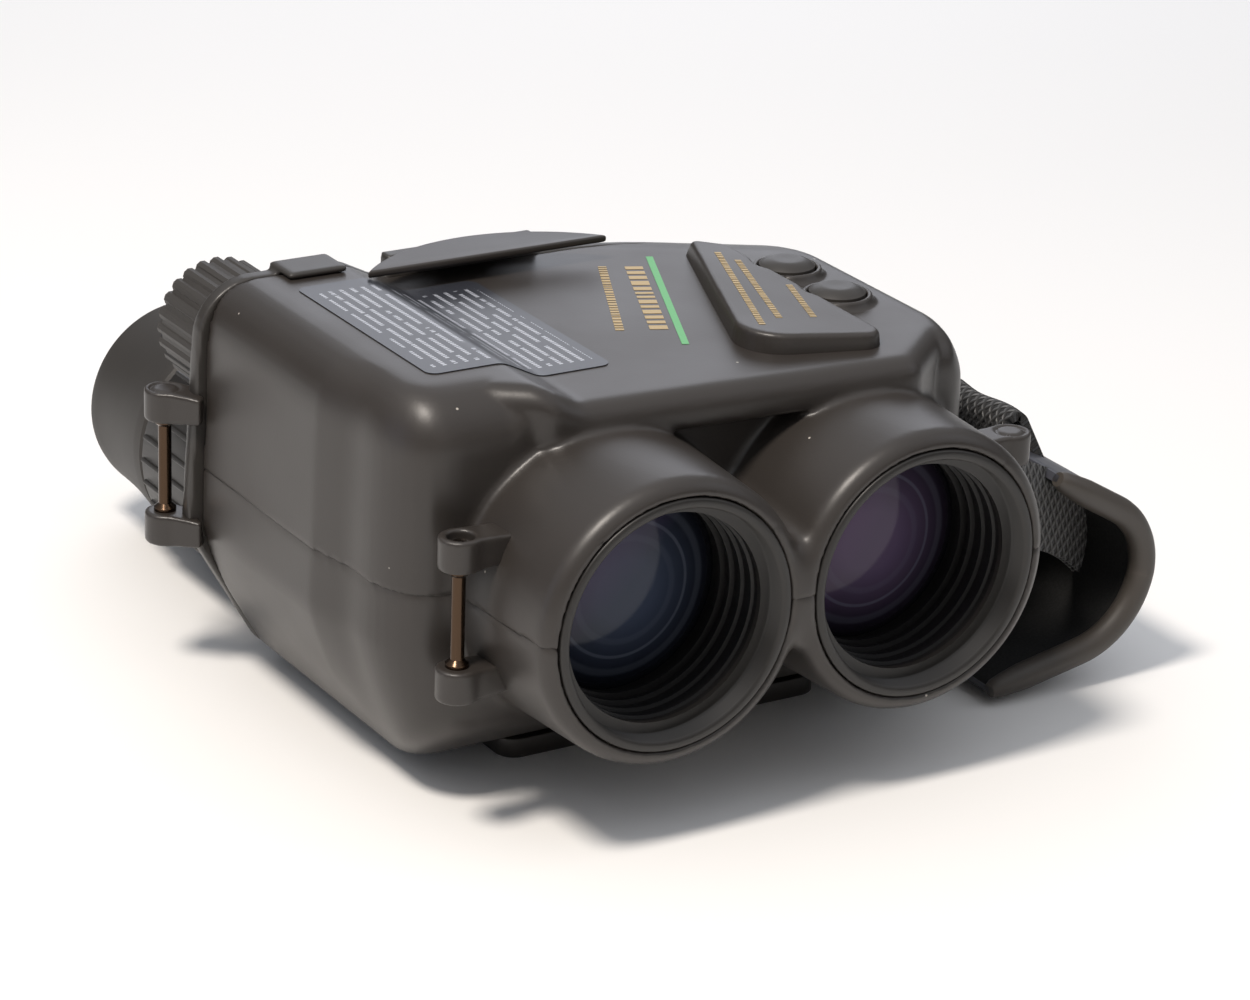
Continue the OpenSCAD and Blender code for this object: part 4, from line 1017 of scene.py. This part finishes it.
def makePin(name, node):
    lo, hi = boxMm(node)
    x, y, _ = (lo + hi) / 2
    r = (hi[0] - lo[0]) / 2
    foot, head = axisZ - lug["gap"] / 2, axisZ + lug["gap"] / 2
    profile = [(0, lo[2]), (r, lo[2]), (r, foot - 0.1), (r + 0.9, foot - 0.1), (r + 0.9, foot + 0.7),
               (r + 0.35, foot + 1.2), (r, foot + 1.5), (r, head - 1.5), (r + 0.35, head - 1.2),
               (r + 0.9, head - 0.7), (r + 0.9, head + 0.1),
               (r, head + 0.1), (r, hi[2]), (0, hi[2])]
    finishPiece(turnedPiece(name, profile, (x, y, 0), axis="z", steps=48), "root", "pin_steel", node)


for end in ("front", "rear"):
    for side, sign in (("left", -1), ("right", 1)):
        title = end.title() + side.title()
        makeLug("strapLug" + title, f"strap_lug_{end}_{side}", f"strap_pin_{end}_{side}", sign, end == "front")
        makePin("strapPin" + title, f"strap_pin_{end}_{side}")
print("lugs ready")


knobLo, knobHi = boxMm("focus_knob")
knob = {"ribs": 24, "rib": 3.05, "baseR": 12.35}


def makeKnob():
    y0, y1, r = knobLo[1], knobHi[1], knob["baseR"]
    profile = [(2.1, y0), (r - 0.8, y0), (r, y0 + 0.8), (r, y1 - 2.4), (r - 0.7, y1 - 1.0), (r - 2.2, y1 - 0.2),
               (r - 3.4, y1), (r - 4.2, y1 - 0.5), (0, y1 - 0.5), (0, y1 - 5), (2.1, y1 - 5)]
    base = turnedPiece("knobBase", profile, (knobAt[0], 0, knobAt[2]), steps=96)
    base.data.materials.append(finish["rubber_black"])
    grip = ribbedRing("knobRibs", knob["ribs"], r - 1.0, y1 - y0 - 1.6, knob["rib"],
                      (knobAt[0], y0 + 0.3, knobAt[2]), finish["rubber_black"])
    finishPiece(joinObjects("focusKnob", base, grip), "focus_knob", "rubber_black", "focus_knob")


makeKnob()
print("knob ready")


# the turrets are hollow lobes that carry the eyepieces
turret = {"step": 0.6, "r": 21.0, "wall": 2.0, "edge": 2.5, "neckR": 13.9, "throatR": 12, "eyeR": 13}
eyecup = {"r": 23.5, "boreR": 17.0, "lensR": 13}
eyeRing = {"ribs": 30, "rib": 1.1, "inset": 0.55}
eyeParts = {"left": ("turret_left", "dioptre_ring"), "right": ("turret_right", "eyepiece_grip_ring")}


def makeEyepiece(side, sign):
    node, ringNode = eyeParts[side]
    ex, _, ez = centreMm("eyecup_" + side)
    px = sign * optX
    lo, hi = boxMm(node)
    y0 = rearY + 0.4
    y1 = hi[1]
    grid = gridOver(lo - 2, hi + 2, turret["step"])
    x, y, z = grid
    reach = np.array((ex - px, ez - axisZ))
    t = np.clip(((x - px) * reach[0] + (z - axisZ) * reach[1]) / (reach @ reach), 0, 1)
    lobe = np.hypot(x - px - t * reach[0], z - axisZ - t * reach[1]) - turret["r"]
    d = softMax(softMax(lobe, y - y1, turret["edge"]), y0 - y, 0.8)
    inside = np.maximum(lobe + turret["wall"], np.maximum(y - y1 + turret["wall"], y0 + turret["wall"] - y))
    neck = np.maximum(np.hypot(x - px, z - axisZ) - turret["neckR"], np.maximum(lo[1] - y, y - y0 - 1))
    d = np.minimum(np.maximum(d, -inside), neck)
    d = np.maximum(d, -np.maximum(np.hypot(x - px, z - axisZ) - turret["throatR"], y - y0 - turret["wall"] - 1))
    d = np.maximum(d, -np.maximum(np.hypot(x - ex, z - ez) - turret["eyeR"], y1 - turret["wall"] - 1 - y))
    finishPiece(meshFromField("turret" + side.title(), d, grid), node, "dark_plastic", node)

    lo, hi = boxMm(ringNode)
    y0, y1, r = lo[1], hi[1], (hi[0] - lo[0]) / 2
    profile = [(17.1, y0), (r - 2, y0), (r - 1, y0 + 0.8), (r - 0.6, y0 + 2), (r - 0.6, y1 - 1.2),
               (r - 1.2, y1 - 0.3), (r - 1.8, y1), (17.1, y1)]
    base = turnedPiece("ringBase", profile, (ex, 0, ez))
    base.data.materials.append(finish["ring_plastic"])
    grip = ribbedRing("ringRibs", eyeRing["ribs"], r - eyeRing["inset"], y1 - y0 - 4, eyeRing["rib"],
                      (ex, y0 + 2.2, ez), finish["ring_plastic"])
    ringBody = "dioptre_ring" if side == "left" else "turret_right"
    finishPiece(joinObjects("gripRing" + side.title(), base, grip), ringBody, "ring_plastic", ringNode)

    lo, hi = boxMm("eyecup_" + side)
    y0, y1 = lo[1], hi[1]
    r, bore = eyecup["r"], eyecup["boreR"]
    outside = [(r, y0 + 0.6), (r, y0 + 3)]
    outside += [(r - 2 * t - 0.5 * math.sin(math.pi * t), y0 + 3 + (y1 - y0 - 5) * t)
                for t in np.linspace(0.05, 1, 14)]
    rim = [(21.3, y1 - 0.8), (20.6, y1 - 0.1), (19.8, y1), (19.1, y1 - 0.5)]
    seat = boxMm("eyepiece_" + side)[1][1]
    cup = [(bore, y0), (22.9, y0)] + outside + rim + [(18.5, seat + 1), (bore, seat)]
    finishPiece(turnedPiece("eyecup" + side.title(), cup, (ex, 0, ez)), node, "rubber_black", "eyecup_" + side)

    lo, hi = boxMm("eye_lens_" + side)
    r = eyecup["lensR"]
    dome = [(r * t, hi[1] - 1.6 * t * t) for t in np.linspace(0, 1, 13)]
    profile = [(0, lo[1]), (0, hi[1])] + dome[1:] + [(r, lo[1])]
    lens = turnedPiece("eyeGlass" + side.title(), profile, (ex, 0, ez), steps=96)
    finishPiece(lens, node, "coated_glass", "eye_lens_" + side, material=eyeGlass[side])


makeEyepiece("left", -1)
makeEyepiece("right", 1)
print("eyepieces ready")


# the hand strap: paths in x and z from the upper edge to the foot
padLo, padHi = boxMm("hand_strap_pad")
strap = {
    "thick": 4.5,
    "rim": 2.75,
    "path": [(halfW + 2.5, axisZ + 2), (halfW + 26.5, axisZ - 12, 15), (halfW + 23.5, 10, 18),
             (halfW - 10.5, 3.25)],
    "web": 17.8,
    "webThick": 1.1,
    "drop": 20,
    "pinR": 1.3,
    "pinGap": 0.25,
    "fold": [(halfW + 1.2, axisZ + 1), (halfW + 1.4, axisZ + 10.4, 2.5), (halfW + 5.2, axisZ + 9, 3),
             (halfW + 10.5, axisZ - 1)],
    "foldY": (-19, 7),
    "foldHalf": 0.9,  # half its thickness
}


def evenly(points, count):
    p = np.array(points, float)
    s = np.concatenate([[0], np.cumsum(np.linalg.norm(np.diff(p, axis=0), axis=1))])
    t = np.linspace(0, s[-1], count)
    return np.stack([np.interp(t, s, p[:, i]) for i in range(p.shape[1])], axis=1), t


def pathNormals(p):
    d = np.gradient(p, axis=0)
    d /= np.linalg.norm(d, axis=1)[:, None]
    return np.stack([-d[:, 1], d[:, 0]], axis=1)


# a closed band: an outer and an inner face over a grid of u (along the path) and v (across), mapped in metres
def bandMesh(name, outer, inner, u, v, materials, innerIndex=0):
    nu, nv = outer.shape[:2]
    verts = np.concatenate([outer.reshape(-1, 3), inner.reshape(-1, 3)]) * mm
    n = nu * nv
    faces, kinds = [], []

    def at(i, j, face):
        return face * n + i * nv + j

    for i in range(nu - 1):
        for j in range(nv - 1):
            faces.append((at(i, j, 0), at(i + 1, j, 0), at(i + 1, j + 1, 0), at(i, j + 1, 0)))
            faces.append((at(i, j, 1), at(i, j + 1, 1), at(i + 1, j + 1, 1), at(i + 1, j, 1)))
            kinds += [0, innerIndex]
        for j, flip in ((0, 1), (nv - 1, 0)):
            quad = (at(i, j, 0), at(i + 1, j, 0), at(i + 1, j, 1), at(i, j, 1))
            faces.append(quad[::-1] if flip else quad)
            kinds.append(0)
    for j in range(nv - 1):
        for i, flip in ((0, 0), (nu - 1, 1)):
            quad = (at(i, j, 0), at(i, j + 1, 0), at(i, j + 1, 1), at(i, j, 1))
            faces.append(quad[::-1] if flip else quad)
            kinds.append(0)
    mesh = bpy.data.meshes.new(name)
    mesh.from_pydata(verts.tolist(), [], faces)
    for m in materials:
        mesh.materials.append(m)
    mesh.polygons.foreach_set("material_index", kinds)
    layer = mesh.uv_layers.new(name="UVMap")
    place = np.array([(a * mm, b * mm) for a in u for b in v] * 2)
    index = np.empty(len(mesh.loops), np.int32)
    mesh.loops.foreach_get("vertex_index", index)
    layer.data.foreach_set("uv", place[index].astype(np.float32).ravel())
    obj = newObject(name, mesh)
    bm = bmesh.new()
    bm.from_mesh(mesh)
    bmesh.ops.recalc_face_normals(bm, faces=bm.faces)
    bm.to_mesh(mesh)
    bm.free()
    mesh.shade_smooth()
    mesh.set_sharp_from_angle(angle=math.radians(60))
    return obj


def makePad():
    path, along = evenly(roundedPath(strap["path"], 14), 90)
    normal = pathNormals(path)
    ys = np.linspace(padLo[1] + strap["rim"], padHi[1] - strap["rim"], 40)
    across = np.abs(ys - ys.mean()) / (ys[-1] - ys[0]) * 2
    # full in the middle and thinner beside the rolled edges; the ends taper where they are sewn down
    taper = np.clip(np.minimum(along, along[-1] - along) / 8, 0, 1) ** 0.5
    half = strap["thick"] / 2 * (1.0 - 0.28 * across[None, :] ** 4) * (0.45 + 0.55 * taper[:, None])
    sides = []
    for sign in (1, -1):
        xz = path[:, None, :] + sign * normal[:, None, :] * half[:, :, None]
        sides.append(np.stack([xz[..., 0], np.broadcast_to(ys, half.shape), xz[..., 1]], axis=-1))
    pad = bandMesh("handPad", sides[0], sides[1], along, ys, [finish["pad_leather"], innerFaceShade], 1)
    # the leather goes on the side that faces away from the body; the side that faces the body gets near-black
    # painted shade
    midway = (len(along) // 2, len(ys) // 2, 0)
    if sides[0][midway] <= sides[1][midway]:
        for polygon in pad.data.polygons:
            polygon.material_index = 1 - polygon.material_index
    finishPiece(pad, "root", "pad_leather", "hand_strap_pad")
    # rolled binding round each open edge
    for name, y in (("frontBinding", padLo[1] + strap["rim"]), ("rearBinding", padHi[1] - strap["rim"])):
        loop = np.linspace(0, 2 * math.pi, 20, endpoint=False)
        rings = []
        for p, n, t in zip(path, normal, taper):
            r = strap["rim"] * (0.55 + 0.45 * t)
            rings.append([(p[0] + n[0] * r * math.cos(a), y + r * math.sin(a), p[1] + n[1] * r * math.cos(a))
                          for a in loop])
        mesh = bpy.data.meshes.new(name)
        count = len(loop)
        faces = []
        for first in range(0, (len(rings) - 1) * count, count):
            faces += [(first + k, first + (k + 1) % count, first + count + (k + 1) % count, first + count + k)
                      for k in range(count)]
        faces += [tuple(range(count)), tuple(range((len(rings) - 1) * count, len(rings) * count))]
        mesh.from_pydata([tuple(c * mm for c in v) for ring in rings for v in ring], [], faces)
        obj = cleanUp(newObject(name, mesh), 60)
        finishPiece(obj, "root", "pad_leather", material=rimTrim)


def makeWebbing(name, node, pinNode, end):
    p = centreMm(pinNode)[:2]
    q = np.array(end, float)
    axis = (q - p) / np.linalg.norm(q - p)
    side = np.array((-axis[1], axis[0]))
    r = strap["pinR"] + strap["pinGap"] + strap["webThick"] / 2
    # out along one side, round the pin and back along the other
    turns = np.linspace(math.radians(50), math.radians(310), 21)
    loop = [p + r * (axis * math.cos(a) + side * math.sin(a)) for a in turns]
    layer = strap["webThick"] * 0.55
    run = [q + side * layer, p + axis * 6 + side * layer] + loop + [p + axis * 6 - side * layer, q - side * layer]
    path, along = evenly(run, 120)
    normal = pathNormals(path)
    h = strap["web"] / 2
    vs = np.linspace(-h, h, 13)
    reach = np.linalg.norm(q - p)
    gone = np.clip(((path - p) @ axis - 5) / (reach - 5), 0, 1)
    sag = strap["drop"] * gone * (1 - 0.15 * np.sin(np.pi * gone))
    edge = 1 - 0.5 * (np.abs(vs) / h) ** 8
    sides = []
    for sign in (1, -1):
        xy = path[:, None, :] + sign * normal[:, None, :] * (strap["webThick"] / 2 * edge)[None, :, None]
        z = axisZ + vs[None, :] - sag[:, None]
        sides.append(np.concatenate([xy, z[..., None]], axis=-1))
    web = bandMesh(name, sides[0], sides[1], along, vs, [finish["web_fabric"]])
    finishPiece(web, "root", "web_fabric", node)


# woven lining that is folded over the upper edge of the pad
def makeFold():
    path, along = evenly(roundedPath(strap["fold"], 10), 48)
    normal = pathNormals(path)
    ys = np.linspace(*strap["foldY"], 20)
    sides = []
    for sign in (1, -1):
        xz = path[:, None, :] + sign * normal[:, None, :] * strap["foldHalf"]
        wave = 0.35 * np.sin(ys / 3.1)[None, :] + 0 * xz[..., 0]
        places = [xz[..., 0] + wave, np.broadcast_to(ys, wave.shape), xz[..., 1] + wave * 0.6]
        sides.append(np.stack(places, axis=-1))
    finishPiece(bandMesh("liningFold", sides[0], sides[1], along, ys, [foldWeave]), "root", "web_fabric")


makePad()
makeWebbing("frontWebbing", "hand_strap_front_webbing", "strap_pin_front_right", (halfW + 23.2, faceY + 11))
makeWebbing("rearWebbing", "hand_strap_rear_webbing", "strap_pin_rear_right", (halfW + 23.2, rearY - 16))
makeFold()
print("hand strap ready")


# finishes for the inner pieces that keep their CAD mesh
for part in frame["record"]["subparts"]:
    node = nodes[part["node"]]
    if node.hide_render:
        continue
    mat = finish.get(part["material_slot"], finish["dark_plastic"])
    for slot in node.material_slots:
        slot.material = mat
    if not node.material_slots:
        node.data.materials.append(mat)
print("finishes given to the inner pieces")
